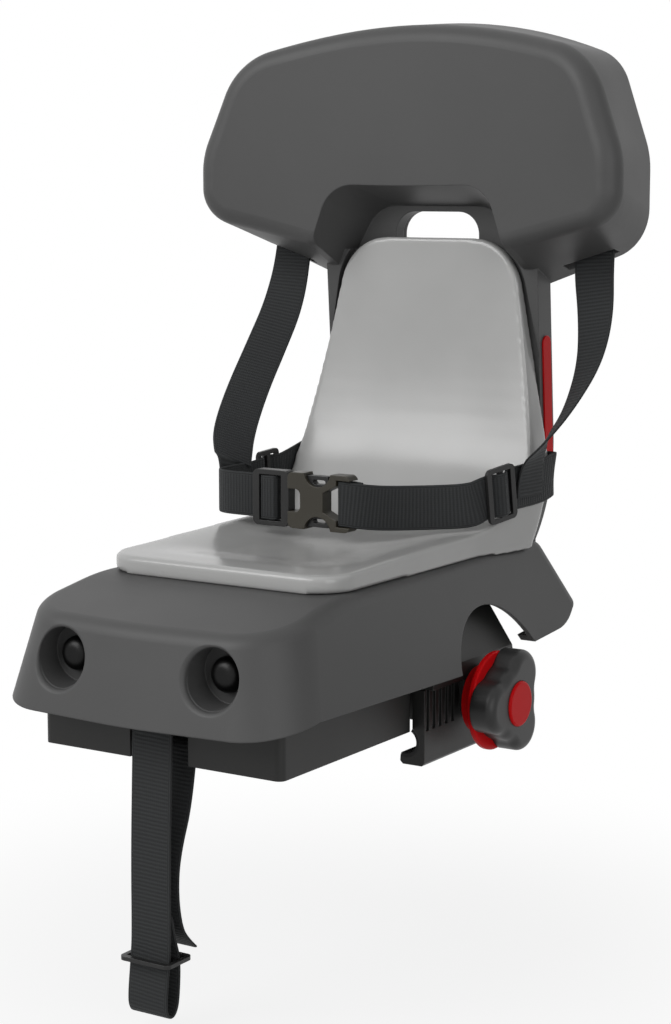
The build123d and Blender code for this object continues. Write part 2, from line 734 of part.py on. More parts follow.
def pad_side_profile():
    low_z = SHELL_TOP_Z - PAD_SKIRT
    front = (PAD_FRONT_Y, PAD_FRONT_Z)
    seat = (PAD_SEAT_Y, PAD_SEAT_Z)
    bend = (PAD_BEND_Y, PAD_BEND_Z)
    top = (PAD_TOP_Y, PAD_TOP_Z)
    back_top = (PAD_BACK_TOP_Y, PAD_TOP_Z)
    back_mid = (PAD_BACK_MID_Y, SPINE_MID_Z)
    back_foot = (PAD_BACK_FOOT_Y, SHELL_TOP_Z)
    back_run = (PAD_BACK_MID_Y - PAD_BACK_TOP_Y, SPINE_MID_Z - PAD_TOP_Z)
    with BuildSketch(Plane.YZ) as sketch:
        with BuildLine():
            Polyline((PAD_BACK_FOOT_Y, low_z), (PAD_FRONT_Y, low_z), front, seat)
            curve = TangentArc(seat, bend, tangent=(PAD_SEAT_Y - PAD_FRONT_Y, PAD_SEAT_Z - PAD_FRONT_Z))
            TangentArc(bend, top, tangent=curve % 1)
            Polyline(top, back_top, back_mid)
            TangentArc(back_mid, back_foot, tangent=back_run)
            Line(back_foot, (PAD_BACK_FOOT_Y, low_z))
        make_face()
    return extrude(sketch.sketch, amount=WIDE / 2, both=True)


def before_pad_back():
    # All that lies in front of the pad's back face, behind the headrest's front
    back_top = (PAD_BACK_TOP_Y, WIDE)
    back_high = (PAD_BACK_TOP_Y, PAD_TOP_Z)
    back_mid = (PAD_BACK_MID_Y, SPINE_MID_Z)
    outline = Polygon((0, SPINE_MID_Z), back_mid, back_high, back_top, (0, WIDE), align=None)
    return extrude(Plane.YZ * outline, amount=WIDE / 2, both=True)


def make_seat_pad(shell_outer):
    plan = mirrored_outline(
        [(PAD_HALF, PAD_FRONT_Y), (PAD_HALF, PAD_SEAT_Y), (PAD_REAR_HALF, PAD_BEND_Y), (PAD_REAR_HALF, WIDE)]
    )
    corners = [
        ((PAD_HALF, PAD_FRONT_Y), PAD_CORNER_R),
        ((PAD_HALF, PAD_SEAT_Y), PAD_SIDE_R),
        ((PAD_REAR_HALF, PAD_BEND_Y), PAD_SIDE_R),
    ]
    seat = extrude(rounded(plan, both_sides(corners)), amount=WIDE)
    pad = pad_side_profile() & seat & pad_prism(0.0)
    return pad - shell_outer


def bar_holder_zs():
    # Cross ribs of the spine: the lowest two hold the lap belt's bars
    reach = BAR_L / 2 - SPINE_RIB_T
    return [LAP_Z - reach, LAP_Z + reach, *SPINE_RIB_Z]


def spine_front_y(z):
    # Front of the spine at a height on its curved lower part
    run = Vector(SPINE_MID_Y - SPINE_TOP_Y, SPINE_MID_Z - SPINE_TOP_Z).normalized()
    inward = Vector(run.Y, -run.X)
    chord = Vector(SPINE_FOOT_Y - SPINE_MID_Y, SHELL_TOP_Z - SPINE_MID_Z)
    radius = chord.length**2 / (2 * chord.dot(inward))
    centre = Vector(SPINE_MID_Y, SPINE_MID_Z) + inward * radius
    return centre.X + math.sqrt(radius**2 - (z - centre.Y) ** 2)


def lap_bar_y():
    return spine_front_y(LAP_Z) + SPINE_WALL + BAR_D + 1


def shoulder_slope():
    return math.degrees(math.atan2(HEAD_LOW_REAR_Z - HEAD_FOOT_REAR_Z, HEAD_REAR_HALF - HEAD_FOOT_X))


def shoulder_exit_z():
    # Underside of the headrest where a shoulder strap leaves it
    return HEAD_FOOT_REAR_Z + (SHOULDER_X - HEAD_FOOT_X) * math.tan(math.radians(shoulder_slope()))


def cover_screw_places():
    return [(side * x, z) for side in (-1, 1) for x, z in (COVER_SCREW_HIGH, COVER_SCREW_LOW)]


def make_backrest_shell(shell_outer):
    head = head_form(0.0, HEAD_REAR_Y) - hood(0.0)
    head -= pad_prism(PAD_SHADOW) & before_pad_back()
    spine = spine_slab(SPINE_HALF, 0.0, SHELL_TOP_Z - DECK_EDGE_R) - shell_outer
    hollow = head_form(HEAD_WALL, HEAD_REAR_Y + 1) - hood(HEAD_WALL) - carry_hole(HEAD_WALL)
    hollow -= pad_prism(PAD_SHADOW + HEAD_WALL) & Pos(0, HEAD_WALL, 0) * before_pad_back()
    hollow -= spine
    spine -= pad_prism(PAD_SHADOW) & before_pad_back()
    channel = spine_slab(SPINE_HALF - SPINE_WALL, SPINE_WALL, 0.0)
    channel -= pad_prism(PAD_SHADOW + SPINE_WALL) & Pos(0, SPINE_WALL, 0) * before_pad_back()
    channel &= slab((-WIDE, 0, SHELL_TOP_Z + FOOT_T), (WIDE, WIDE, SPINE_CHANNEL_TOP_Z))
    ribs = [
        slab((-WIDE, 0, z - SPINE_RIB_T / 2), (WIDE, WIDE, z + SPINE_RIB_T / 2)) & channel & spine
        for z in bar_holder_zs()
    ]
    body = head + spine - hollow - channel - carry_hole(0.0)
    for rib in ribs:
        body += rib
    body += shoulder_bar_ribs() & hollow
    for x, z in cover_screw_places():
        body += rod((x, HEAD_FRONT_Y, z), (x, HEAD_REAR_Y, z), COVER_BOSS_D) & hollow
        body -= rod((x, HEAD_REAR_Y - COVER_SCREW_L, z), (x, WIDE, z), COVER_SCREW_D + 2 * RUNNING)
    for bar in make_shoulder_anchor_bars(RUNNING) + make_lap_anchor_bars(RUNNING):
        body -= bar
    for side in (-1, 1):
        slot = Box(SLOT_L, SLOT_T, SLOT_L)
        exit_place = Pos(side * SHOULDER_X, SHOULDER_Y, shoulder_exit_z())
        body -= exit_place * Rot(0, -side * shoulder_slope(), 0) * slot
        lap_slot = Box(LAP_SLOT_W, 4 * SPINE_WALL, SLOT_L)
        body -= Pos(side * LAP_SLOT_X, spine_front_y(LAP_Z), LAP_Z) * lap_slot
    for x in foot_bolt_xs():
        seat_z = SHELL_TOP_Z + FOOT_T
        body -= rod((x, FOOT_BOLT_Y, 0), (x, FOOT_BOLT_Y, seat_z + 1), FOOT_BOLT_D + 2 * BOLT_CLEAR)
        body -= rod((x, FOOT_BOLT_Y, seat_z), (x, FOOT_BOLT_Y, seat_z + FOOT_BOLT_D), 2 * FOOT_BOLT_D)
    return body


def shoulder_bar_ribs():
    ribs = Part()
    for side in (-1, 1):
        for offset in (-1, 1):
            x = side * SHOULDER_X + offset * (BAR_L - ANCHOR_RIB_T) / 2
            ribs += slab(
                (x - ANCHOR_RIB_T / 2, HEAD_FRONT_Y, HEAD_FOOT_REAR_Z),
                (x + ANCHOR_RIB_T / 2, HEAD_REAR_Y, SHOULDER_BAR_Z + 2 * BAR_D),
            )
    return ribs


def make_shoulder_anchor_bars(clearance):
    half = BAR_L / 2
    bars = []
    for x in (-SHOULDER_X, SHOULDER_X):
        ends = [(x - half, SHOULDER_Y, SHOULDER_BAR_Z), (x + half, SHOULDER_Y, SHOULDER_BAR_Z)]
        bars.append(rod(*ends, BAR_D + 2 * clearance))
    return bars


def make_lap_anchor_bars(clearance):
    half = BAR_L / 2
    bars = []
    for x in (-LAP_BAR_X, LAP_BAR_X):
        ends = [(x, lap_bar_y(), LAP_Z - half), (x, lap_bar_y(), LAP_Z + half)]
        bars.append(rod(*ends, BAR_D + 2 * clearance))
    return bars


def make_rear_cover():
    outline = head_rear_section(HEAD_REAR_Y, COVER_INSET)
    cover = extrude(outline, amount=-COVER_T)
    back_rim = cover.faces().sort_by(Axis.Y)[-1].edges()
    cover = fillet(back_rim, COVER_T / 2)
    bay_half = SPINE_HALF + GAP
    cover -= slab((-bay_half, 0, 0), (bay_half, WIDE, SPINE_TOP_Z + GAP))
    cover -= carry_hole(0.0)
    for x, z in cover_screw_places():
        cover -= rod((x, 0, z), (x, WIDE, z), COVER_SCREW_D + 2 * BOLT_CLEAR)
    return cover


def make_rear_cover_screws():
    seat_y = HEAD_REAR_Y + COVER_T
    length = COVER_T + COVER_SCREW_L
    return [screw((x, seat_y, z), (0, -1, 0), COVER_SCREW_D, length) for x, z in cover_screw_places()]


def make_backrest_bolts():
    seat_z = SHELL_TOP_Z + FOOT_T
    return [screw((x, FOOT_BOLT_Y, seat_z), (0, 0, -1), FOOT_BOLT_D, FOOT_BOLT_L) for x in foot_bolt_xs()]


def make_backrest_nuts():
    bore = FOOT_BOLT_D + 2 * RUNNING
    places = [(x, FOOT_BOLT_Y, DECK_UNDER_Z - FOOT_BOSS_H) for x in foot_bolt_xs()]
    return [nut(place, (0, 0, -1), FOOT_NUT_AF, bore, FOOT_NUT_H) for place in places]


def make_side_badge():
    badge_y = spine_front_y(SPINE_MID_Z) + SPINE_T - BADGE_W
    plane = sideways(SPINE_HALF)
    outline = Pos(badge_y, BADGE_Z) * Rot(0, 0, badge_lean()) * SlotOverall(BADGE_L, BADGE_W)
    return extrude(plane * outline, amount=BADGE_T)


def badge_lean():
    # The badge follows the straight run of the spine
    return math.degrees(math.atan2(SPINE_TOP_Z - SPINE_MID_Z, SPINE_TOP_Y - SPINE_MID_Y))


# Rack clamp


def make_clamp_housing():
    def section(inset, low_z):
        outline = [
            (HOUSING_HALF - inset, low_z),
            (HOUSING_HALF - inset, HOUSING_SHOULDER_Z - inset / 2),
            (HOUSING_TOP_HALF - inset, HOUSING_TOP_Z - inset),
        ]
        return mirrored_outline(outline)

    def side_view(inset, low_z):
        outline = Polygon(
            (HOUSING_FRONT_Y + inset, low_z),
            (HOUSING_REAR_Y - inset, low_z),
            (HOUSING_REAR_Y - HOUSING_REAR_SLANT - inset, HOUSING_TOP_Z - inset),
            (HOUSING_FRONT_Y + inset, HOUSING_TOP_Z - inset),
            align=None,
        )
        return extrude(Plane.YZ * outline, amount=WIDE, both=True)

    outer = extrude(frontal(0) * section(0.0, HOUSING_LOW_Z), amount=-WIDE) & side_view(0.0, HOUSING_LOW_Z)
    hollow = extrude(frontal(0) * section(HOUSING_WALL, 0), amount=-WIDE) & side_view(HOUSING_WALL, 0)
    housing = outer - hollow
    # Channel that guides the jaws' blocks
    half = TONGUE_BLOCK_W / 2 + GAP
    for side in (-1, 1):
        inner = SPINDLE_Y + side * half
        outer_y = inner + side * CHANNEL_WALL
        housing += slab(
            (-CHANNEL_HALF, min(inner, outer_y), TONGUE_BLOCK_LOW_Z),
            (CHANNEL_HALF, max(inner, outer_y), HOUSING_TOP_Z - HOUSING_WALL),
        )
    housing += slab(
        (-CHANNEL_HALF, SPINDLE_Y - half, JAW_TOP_Z + GAP),
        (CHANNEL_HALF, SPINDLE_Y + half, JAW_TOP_Z + GAP + CHANNEL_WALL),
    )
    # Bearing lugs at both ends
    for side in (-1, 1):
        face = side * HOUSING_HALF
        inner = face - side * HOUSING_WALL
        lug = rod((inner, SPINDLE_Y, SPINDLE_Z), (face, SPINDLE_Y, SPINDLE_Z), 2 * LUG_R)
        lug += slab(
            (min(inner, face), SPINDLE_Y - LUG_R, SPINDLE_Z),
            (max(inner, face), SPINDLE_Y + LUG_R, HOUSING_SHOULDER_Z - HOUSING_WALL),
        )
        housing += lug
    housing -= rod((-WIDE, SPINDLE_Y, SPINDLE_Z), (WIDE, SPINDLE_Y, SPINDLE_Z), SPINDLE_D + 2 * RUNNING)
    for x in (-HOUSING_SCREW_X, HOUSING_SCREW_X):
        for y in HOUSING_SCREW_Y:
            housing -= rod((x, y, HOUSING_SHOULDER_Z), (x, y, WIDE), HOUSING_SCREW_D + 2 * BOLT_CLEAR)
    for x in (-TRAY_SCREW_X, TRAY_SCREW_X):
        start = (x, HOUSING_FRONT_Y - 1, tray_screw_z())
        end = (x, HOUSING_FRONT_Y + TRAY_SCREW_L, tray_screw_z())
        housing -= rod(start, end, TRAY_SCREW_D + 2 * RUNNING)
    return housing


def make_housing_screws():
    seat_z = HOUSING_TOP_Z - HOUSING_WALL
    places = [(side * HOUSING_SCREW_X, y, seat_z) for side in (-1, 1) for y in HOUSING_SCREW_Y]
    return [screw(place, (0, 0, 1), HOUSING_SCREW_D, HOUSING_SCREW_L) for place in places]


def around_tube(radius, angle):
    # Point on a circle round the rack tube; angle 0 points outwards and positive is up
    turn = math.radians(angle)
    return (TUBE_X + radius * math.cos(turn), -TUBE_R + radius * math.sin(turn))


def make_jaw():
    # Right-hand jaw: hooked plate with a guide block that runs in the channel
    crest = around_tube(JAW_PAD_R, JAW_CREST_ANGLE)
    lip = around_tube(JAW_PAD_R, -JAW_LIP_ANGLE)
    with BuildSketch() as section:
        with BuildLine():
            ThreePointArc(crest, around_tube(JAW_PAD_R, 0), lip)
            Polyline(
                lip,
                (JAW_HOOK_X, JAW_BASE_Z + JAW_PAD_T),
                (JAW_HOOK_X + JAW_PAD_T, JAW_BASE_Z),
                (JAW_OUT_X - JAW_PAD_T, JAW_BASE_Z),
                (JAW_OUT_X, JAW_BASE_Z + JAW_PAD_T),
                (JAW_OUT_X, JAW_TOP_Z),
                (crest[0], JAW_TOP_Z),
                crest,
            )
        make_face()
    jaw = extrude(frontal(JAW_FRONT_Y) * section.sketch, amount=-JAW_L)
    for index in range(JAW_GROOVE_COUNT):
        for end in (0, 1):
            pitch = 2 * JAW_GROOVE_W * index + JAW_GROOVE_W
            y = JAW_FRONT_Y + (pitch if end == 0 else JAW_L - pitch)
            jaw -= slab(
                (JAW_OUT_X - JAW_GROOVE_D, y - JAW_GROOVE_W / 2, 0),
                (WIDE, y + JAW_GROOVE_W / 2, WIDE),
            )
    half = TONGUE_BLOCK_W / 2
    jaw += slab(
        (TONGUE_BLOCK_IN_X, SPINDLE_Y - half, TONGUE_BLOCK_LOW_Z + GAP),
        (crest[0], SPINDLE_Y + half, JAW_TOP_Z),
    )
    jaw -= rod((0, SPINDLE_Y, SPINDLE_Z), (WIDE, SPINDLE_Y, SPINDLE_Z), SPINDLE_D + 4 * GAP)
    pocket = Plane(origin=(TONGUE_BLOCK_IN_X, SPINDLE_Y, SPINDLE_Z), z_dir=(1, 0, 0)) * hexagon(JAW_NUT_AF)
    jaw -= extrude(pocket, amount=JAW_NUT_L)
    return jaw


def make_jaw_pad():
    outer_start = around_tube(JAW_PAD_R, JAW_CREST_ANGLE)
    outer_end = around_tube(JAW_PAD_R, -JAW_LIP_ANGLE)
    inner_start = around_tube(TUBE_R, JAW_CREST_ANGLE)
    inner_end = around_tube(TUBE_R, -JAW_LIP_ANGLE)
    with BuildSketch() as section:
        with BuildLine():
            ThreePointArc(outer_start, around_tube(JAW_PAD_R, 0), outer_end)
            Line(outer_end, inner_end)
            ThreePointArc(inner_end, around_tube(TUBE_R, 0), inner_start)
            Line(inner_start, outer_start)
        make_face()
    return extrude(frontal(JAW_FRONT_Y) * section.sketch, amount=-JAW_L)


def make_jaw_nut():
    at = (TONGUE_BLOCK_IN_X, SPINDLE_Y, SPINDLE_Z)
    return nut(at, (1, 0, 0), JAW_NUT_AF, SPINDLE_D + 2 * RUNNING, JAW_NUT_L)


def mirrored(shape):
    return mirror(shape, about=Plane.YZ)


def make_clamp_spindle():
    start = -HOUSING_HALF - GAP - CLIP_T - RETAINER_TAIL
    end = KNOB_X + KNOB_T / 2
    return rod((start, SPINDLE_Y, SPINDLE_Z), (end, SPINDLE_Y, SPINDLE_Z), SPINDLE_D)


def make_retaining_ring():
    plane = Plane(origin=(-HOUSING_HALF - GAP, SPINDLE_Y, SPINDLE_Z), z_dir=(-1, 0, 0))
    ring = Circle(CLIP_D / 2) - Circle(SPINDLE_D / 2) - Pos(CLIP_D / 2, 0) * Rectangle(CLIP_D, SPINDLE_D * 0.7)
    return extrude(plane * ring, amount=CLIP_T)


def spindle_plane(x):
    return Plane(origin=(x, SPINDLE_Y, SPINDLE_Z), x_dir=(0, 1, 0), z_dir=(1, 0, 0))


def make_thrust_washer():
    ring = Circle(WASHER_D / 2) - Circle(SPINDLE_D / 2)
    return extrude(spindle_plane(COLLAR_X - WASHER_T) * ring, amount=WASHER_T)


def make_knob_collar():
    bore = Circle(SPINDLE_D / 2)
    collar = extrude(spindle_plane(KNOB_X - COLLAR_T) * (Circle(COLLAR_D / 2) - bore), amount=COLLAR_T)
    outer_edges = collar.edges().sort_by(SortBy.LENGTH)[-2:]
    collar = fillet(outer_edges, COLLAR_T / 4)
    boss = Circle(COLLAR_BOSS_D / 2) - bore
    return collar + extrude(spindle_plane(COLLAR_X) * boss, amount=COLLAR_BOSS_L)


def make_clamp_knob():
    outline = Circle(KNOB_CORE_R)
    for index in range(3):
        angle = math.radians(KNOB_FRONT_LOBE + 120 * index)
        outline += Pos(KNOB_LOBE_AT * math.cos(angle), KNOB_LOBE_AT * math.sin(angle)) * Circle(KNOB_LOBE_R)
    outline = fillet(outline.vertices(), KNOB_WAIST_R)
    knob = extrude(spindle_plane(KNOB_X) * outline, amount=KNOB_T)
    front_edges = knob.faces().sort_by(Axis.X)[-1].edges()
    knob = fillet(front_edges, KNOB_EDGE_R)
    knob -= extrude(spindle_plane(CAP_X) * Circle(CAP_D / 2), amount=KNOB_T)
    return knob - rod((0, SPINDLE_Y, SPINDLE_Z), (KNOB_X + KNOB_T / 2, SPINDLE_Y, SPINDLE_Z), SPINDLE_D)


def make_knob_cap():
    cap = extrude(spindle_plane(CAP_X) * Circle(CAP_D / 2), amount=CAP_T)
    return fillet(cap.edges().sort_by(Axis.X)[-1], CAP_PROUD)


# Harness


def webbing(stations):
    # Flat webbing through stations: each is its middle and the direction of its width
    middles = [Vector(place) for place, across in stations]
    sections = []
    for index, (place, across) in enumerate(stations):
        before = middles[max(index - 1, 0)]
        after = middles[min(index + 1, len(middles) - 1)]
        run = (after - before).normalized()
        width = Vector(across) - run * run.dot(Vector(across))
        plane = Plane(origin=middles[index], x_dir=width, z_dir=run)
        sections.append((plane * Rectangle(WEB_W, WEB_T)).face())
    return loft(sections, ruled=True)


def bar_loop(place, along, bar_d):
    # Webbing sewn in a loop round a bar, a little narrower than the rest
    width = WEB_W - 2 * GAP
    start = Vector(place) - Vector(along) * (width / 2)
    inner = bar_d / 2 + RUNNING
    plane = Plane(origin=start, z_dir=along)
    return extrude(plane * (Circle(inner + WEB_T) - Circle(inner)), amount=width)


def loop_offset(bar_d):
    # From a bar's middle to the middle of the webbing that leaves its loop
    return bar_d / 2 + 3 * RUNNING + WEB_T / 2


def mirrored_stations(stations):
    return [((-x, y, z), (-u, v, w)) for (x, y, z), (u, v, w) in stations]


def shoulder_start(side):
    top = (side * SHOULDER_X, SHOULDER_Y + loop_offset(BAR_D), SHOULDER_BAR_Z)
    slot = (side * SHOULDER_X, SHOULDER_Y + WEB_T / 2, shoulder_exit_z())
    return [(top, (1, 0, 0)), (slot, (1, 0, 0))]


def shoulder_loop(side):
    return bar_loop((side * SHOULDER_X, SHOULDER_Y, SHOULDER_BAR_Z), (1, 0, 0), BAR_D)


def make_shoulder_strap_right():
    # Hangs off the side of the headrest, turns edge on and is sewn across the outside of the lap belt
    stations = shoulder_start(1) + [
        ((128, 252, 257), (0.95, -0.2, 0.1)),
        ((130, 240, 226), (0.85, -0.5, 0.1)),
        ((124, 222, 196), (0.62, -0.77, 0.12)),
        ((112, 211, 175), (0.5, -0.86, 0.1)),
    ]
    return webbing(stations + lap_right_seam()) + shoulder_loop(1)


def make_shoulder_strap_left():
    # Hangs slack off the headrest and is sewn across the outside of the lap belt
    seam_x = -LAP_LEFT_X - WEB_T - GAP
    stations = shoulder_start(-1) + [
        ((-124, 245, 258), (0.95, 0.3, 0)),
        ((-127, 226, 228), (0.88, 0.47, 0)),
        ((-124, 197, 198), (0.8, 0.6, 0)),
        ((-114, 166, 172), (0.55, 0.83, 0)),
        ((-103, 149, 157), (0.2, 0.98, 0)),
        ((seam_x, LAP_SEAM_Y, LAP_FRONT_Z + WEB_W / 2), (0, 1, 0)),
        ((seam_x, LAP_SEAM_Y, LAP_FRONT_Z - WEB_W / 4), (0, 1, 0)),
    ]
    return webbing(stations) + shoulder_loop(-1)


def lap_start():
    # From the anchor bar through the spine's slot and round the pad's rear edge
    lean = (spine_front_y(LAP_Z + 1) - spine_front_y(LAP_Z - 1)) / 2
    upright = (0, lean, 1)
    gap_y = spine_front_y(LAP_Z) - 0.6 * PAD_TO_SPINE
    return [
        ((LAP_BAR_X, lap_bar_y() - loop_offset(BAR_D), LAP_Z), (0, 0, 1)),
        ((LAP_SLOT_X - LAP_SLOT_W / 3, lap_bar_y() - loop_offset(BAR_D) - 1, LAP_Z), upright),
        ((LAP_SLOT_X + LAP_SLOT_W / 3, gap_y, LAP_Z), upright),
        ((PAD_REAR_HALF - 2, gap_y, LAP_Z), upright),
        ((PAD_REAR_HALF + 1.8, gap_y - 1.3, LAP_Z), upright),
        ((PAD_REAR_HALF + 2.8, gap_y - 6, LAP_Z - 0.5), (0, lean / 2, 1)),
        ((PAD_REAR_HALF + 2.2, gap_y - 20, LAP_Z - 3.5), (0, 0.1, 1)),
    ]


def lap_loop(side):
    return bar_loop((side * LAP_BAR_X, lap_bar_y(), LAP_Z), (0, 0, 1), BAR_D)


def slider_weave():
    # How far the webbing's middle swings from the middle of a slider
    return (SLIDER_T + WEB_T) / 2 + 2 * GAP


def threaded(place, run, outward):
    # Webbing woven over the middle bar of a slider and behind its end bars
    run = Vector(run).normalized()
    outward = Vector(outward) - run * run.dot(Vector(outward))
    outward = outward.normalized()
    across = outward.cross(run)
    if across.Z < 0:
        across = across * -1
    weave = slider_weave()
    past_end = SLIDER_H / 2 + 1
    slot_in = SLIDER_BAR_W / 2 + WEB_T / 2
    slot_out = SLIDER_H / 2 - SLIDER_BAR_W - WEB_T / 2
    steps = [
        (-past_end, -weave),
        (-slot_out, -weave),
        (-slot_in, weave),
        (slot_in, weave),
        (slot_out, -weave),
        (past_end, -weave),
    ]
    return [(Vector(place) + run * along + outward * off, across) for along, off in steps]


def slider_frame(plane):
    # Slide with a middle bar and two slots, its slots running along the plane's Y
    outline = RectangleRounded(SLIDER_H, SLIDER_W, SLIDER_R)
    slot_w = (SLIDER_H - 3 * SLIDER_BAR_W) / 2
    for side in (-1, 1):
        outline -= Pos(side * (slot_w + SLIDER_BAR_W) / 2, 0) * Rectangle(slot_w, WEB_W + 6 * GAP)
    return extrude(plane * outline, amount=SLIDER_T / 2, both=True)


def lap_right_plane():
    return slider_plane(LAP_SLIDER_RIGHT, LAP_SLIDER_RIGHT_RUN, (1, 0, 0))


def lap_left_plane():
    return slider_plane(LAP_SLIDER_LEFT, LAP_SLIDER_LEFT_RUN, (-1, 0, 0))


def slider_plane(place, run, outward):
    run = Vector(run).normalized()
    outward = Vector(outward) - run * run.dot(Vector(outward))
    return Plane(origin=place, x_dir=run, z_dir=outward)


def lap_right_seam():
    # The shoulder strap's end on the outside of the right lap belt, behind its slider
    rear = Vector(lap_start()[-1][0])
    front = Vector(threaded(LAP_SLIDER_RIGHT, LAP_SLIDER_RIGHT_RUN, (1, 0, 0))[0][0])
    run = (front - rear).normalized()
    outside = Vector(-run.Y, run.X).normalized() * (WEB_T + 3 * GAP)
    middle = rear + (front - rear) * LAP_SEAM_AT + outside
    rise = Vector(0, 0, WEB_W / 2)
    return [(middle + rise, run), (middle - rise / 2, run)]


def make_lap_strap_right():
    socket_bar_x = SOCKET_X + SOCKET_BAR_AT
    stations = lap_start()
    stations += threaded(LAP_SLIDER_RIGHT, LAP_SLIDER_RIGHT_RUN, (1, 0, 0))
    stations += [
        ((83, 160.5, 134.8), (0, 0, 1)),
        ((64, 149, 133.6), (0, 0, 1)),
        ((47, 134, 133.6), (0, 0, 1)),
        ((36, 120, 134.4), (0, 0, 1)),
        ((27, 110, 136), (0, 0, 1)),
        ((socket_bar_x, BUCKLE_Y - loop_offset(BUCKLE_BAR_D), BUCKLE_Z), (0, 0, 1)),
    ]
    loop = bar_loop((socket_bar_x, BUCKLE_Y, BUCKLE_Z), (0, 0, 1), BUCKLE_BAR_D)
    return webbing(stations) + lap_loop(1) + loop


def make_lap_strap_left():
    tongue_bar_x = SOCKET_X - TONGUE_BAR_AT
    rear_y = BUCKLE_Y + loop_offset(BUCKLE_BAR_D)
    stations = mirrored_stations(lap_start())
    stations += threaded(LAP_SLIDER_LEFT, LAP_SLIDER_LEFT_RUN, (-1, 0, 0))
    stations += [
        ((-LAP_LEFT_X, LAP_SEAM_Y + 0.6 * WEB_W, LAP_FRONT_Z), (0, 0, 1)),
        ((-LAP_LEFT_X, LAP_SEAM_Y - 0.6 * WEB_W, LAP_FRONT_Z), (0, 0, 1)),
        ((-LAP_LEFT_X + 4, rear_y + 5, LAP_FRONT_Z), (0, 0, 1)),
        ((-LAP_LEFT_X + 14, rear_y, LAP_FRONT_Z), (0, 0, 1)),
        ((SOCKET_X - TONGUE_L - WEB_T, rear_y, BUCKLE_Z), (0, 0, 1)),
        ((tongue_bar_x, rear_y, BUCKLE_Z), (0, 0, 1)),
    ]
    loop = bar_loop((tongue_bar_x, BUCKLE_Y, BUCKLE_Z), (0, 0, 1), BUCKLE_BAR_D)
    return webbing(stations) + lap_loop(-1) + loop


# Buckle


def buckle_plane(x):
    # Sketch plane of the buckle: X along it and Z up, seen from the front
    return Plane(origin=(x, BUCKLE_Y, BUCKLE_Z), x_dir=(1, 0, 0), z_dir=(0, -1, 0))


def make_buckle_socket():
    plane = buckle_plane(SOCKET_X)
    half_h = BUCKLE_H / 2
    outline = Pos(SOCKET_L / 2, 0) * RectangleRounded(SOCKET_L, BUCKLE_H, BUCKLE_R)
    # Waists at the top and foot where the prongs show
    for side in (-1, 1):
        waist_z = side * (half_h + SOCKET_WAIST_R - SOCKET_WAIST_DEPTH)
        outline -= Pos(SOCKET_WAIST_AT, waist_z) * Circle(SOCKET_WAIST_R)
    # Notch at the mouth and window behind the webbing's bar
    notch = Pos(0, 0) * RectangleRounded(2 * SOCKET_NOTCH_L, SOCKET_NOTCH_H, SOCKET_NOTCH_H / 4)
    window = mirrored_up(
        [
            (SOCKET_WINDOW_AT, SOCKET_WINDOW_H / 2),
            (SOCKET_BAR_AT - BUCKLE_BAR_D, SOCKET_EYE_H / 2 - BUCKLE_R),
            (SOCKET_BAR_AT - BUCKLE_BAR_D, SOCKET_EYE_H / 2),
            (SOCKET_L + 1, SOCKET_EYE_H / 2),
        ]
    )
    outline -= notch
    outline -= window
    socket = extrude(plane * outline, amount=SOCKET_T / 2, both=True)
    # Two channels for the prongs
    for side in (-1, 1):
        low = SOCKET_CHANNEL_LOW
        high = half_h - SOCKET_WALL
        channel = Pos(SOCKET_CHANNEL_L / 2, side * (low + high) / 2) * Rectangle(SOCKET_CHANNEL_L, high - low)
        socket -= extrude(plane * channel, amount=SOCKET_CHANNEL_T / 2, both=True)
    bar_x = SOCKET_X + SOCKET_BAR_AT
    low_end = (bar_x, BUCKLE_Y, BUCKLE_Z - half_h + 1)
    high_end = (bar_x, BUCKLE_Y, BUCKLE_Z + half_h - 1)
    return socket + rod(low_end, high_end, BUCKLE_BAR_D)


def mirrored_up(upper_side):
    lower_side = [(x, -z) for x, z in reversed(upper_side)]
    return Polygon(*upper_side, *lower_side, align=None)


def make_buckle_tongue():
    root_x = SOCKET_X - GAP
    plane = buckle_plane(root_x)
    frame = Pos(-TONGUE_L / 2, 0) * RectangleRounded(TONGUE_L, BUCKLE_H, BUCKLE_R)
    eye_l = TONGUE_L - TONGUE_BAR_W - TONGUE_ROOT_L
    frame -= Pos(-TONGUE_ROOT_L - eye_l / 2, 0) * Rectangle(eye_l, SOCKET_EYE_H)
    tongue = extrude(plane * frame, amount=TONGUE_T / 2, both=True)
    # The webbing passes behind the end bar
    tongue -= slab(
        (-WIDE, BUCKLE_Y + BUCKLE_BAR_D / 4, BUCKLE_Z - SOCKET_EYE_H / 2),
        (root_x - TONGUE_L + TONGUE_BAR_W + 1, WIDE, BUCKLE_Z + SOCKET_EYE_H / 2),
    )
    bar_x = SOCKET_X - TONGUE_BAR_AT
    reach = BUCKLE_H / 2 - 1
    tongue += rod((bar_x, BUCKLE_Y, BUCKLE_Z - reach), (bar_x, BUCKLE_Y, BUCKLE_Z + reach), BUCKLE_BAR_D)
    # Prongs with a slit each
    low = SOCKET_CHANNEL_LOW + GAP
    high = BUCKLE_H / 2 - SOCKET_WALL - GAP
    length = SOCKET_CHANNEL_L - 2 * GAP
    for side in (-1, 1):
        prong = Pos(length / 2 - 1, side * (low + high) / 2) * Rectangle(length + 2, high - low)
        slit_at = SOCKET_WAIST_AT + GAP
        prong -= Pos(slit_at, side * (low + high) / 2) * SlotOverall(PRONG_SLIT_L, PRONG_SLIT_W)
        tongue += extrude(plane * prong, amount=SOCKET_CHANNEL_T / 2 - GAP, both=True)
    return tongue


def make_strap_slider_right():
    return slider_frame(lap_right_plane())


def make_strap_slider_left():
    return slider_frame(lap_left_plane())


# Front strap


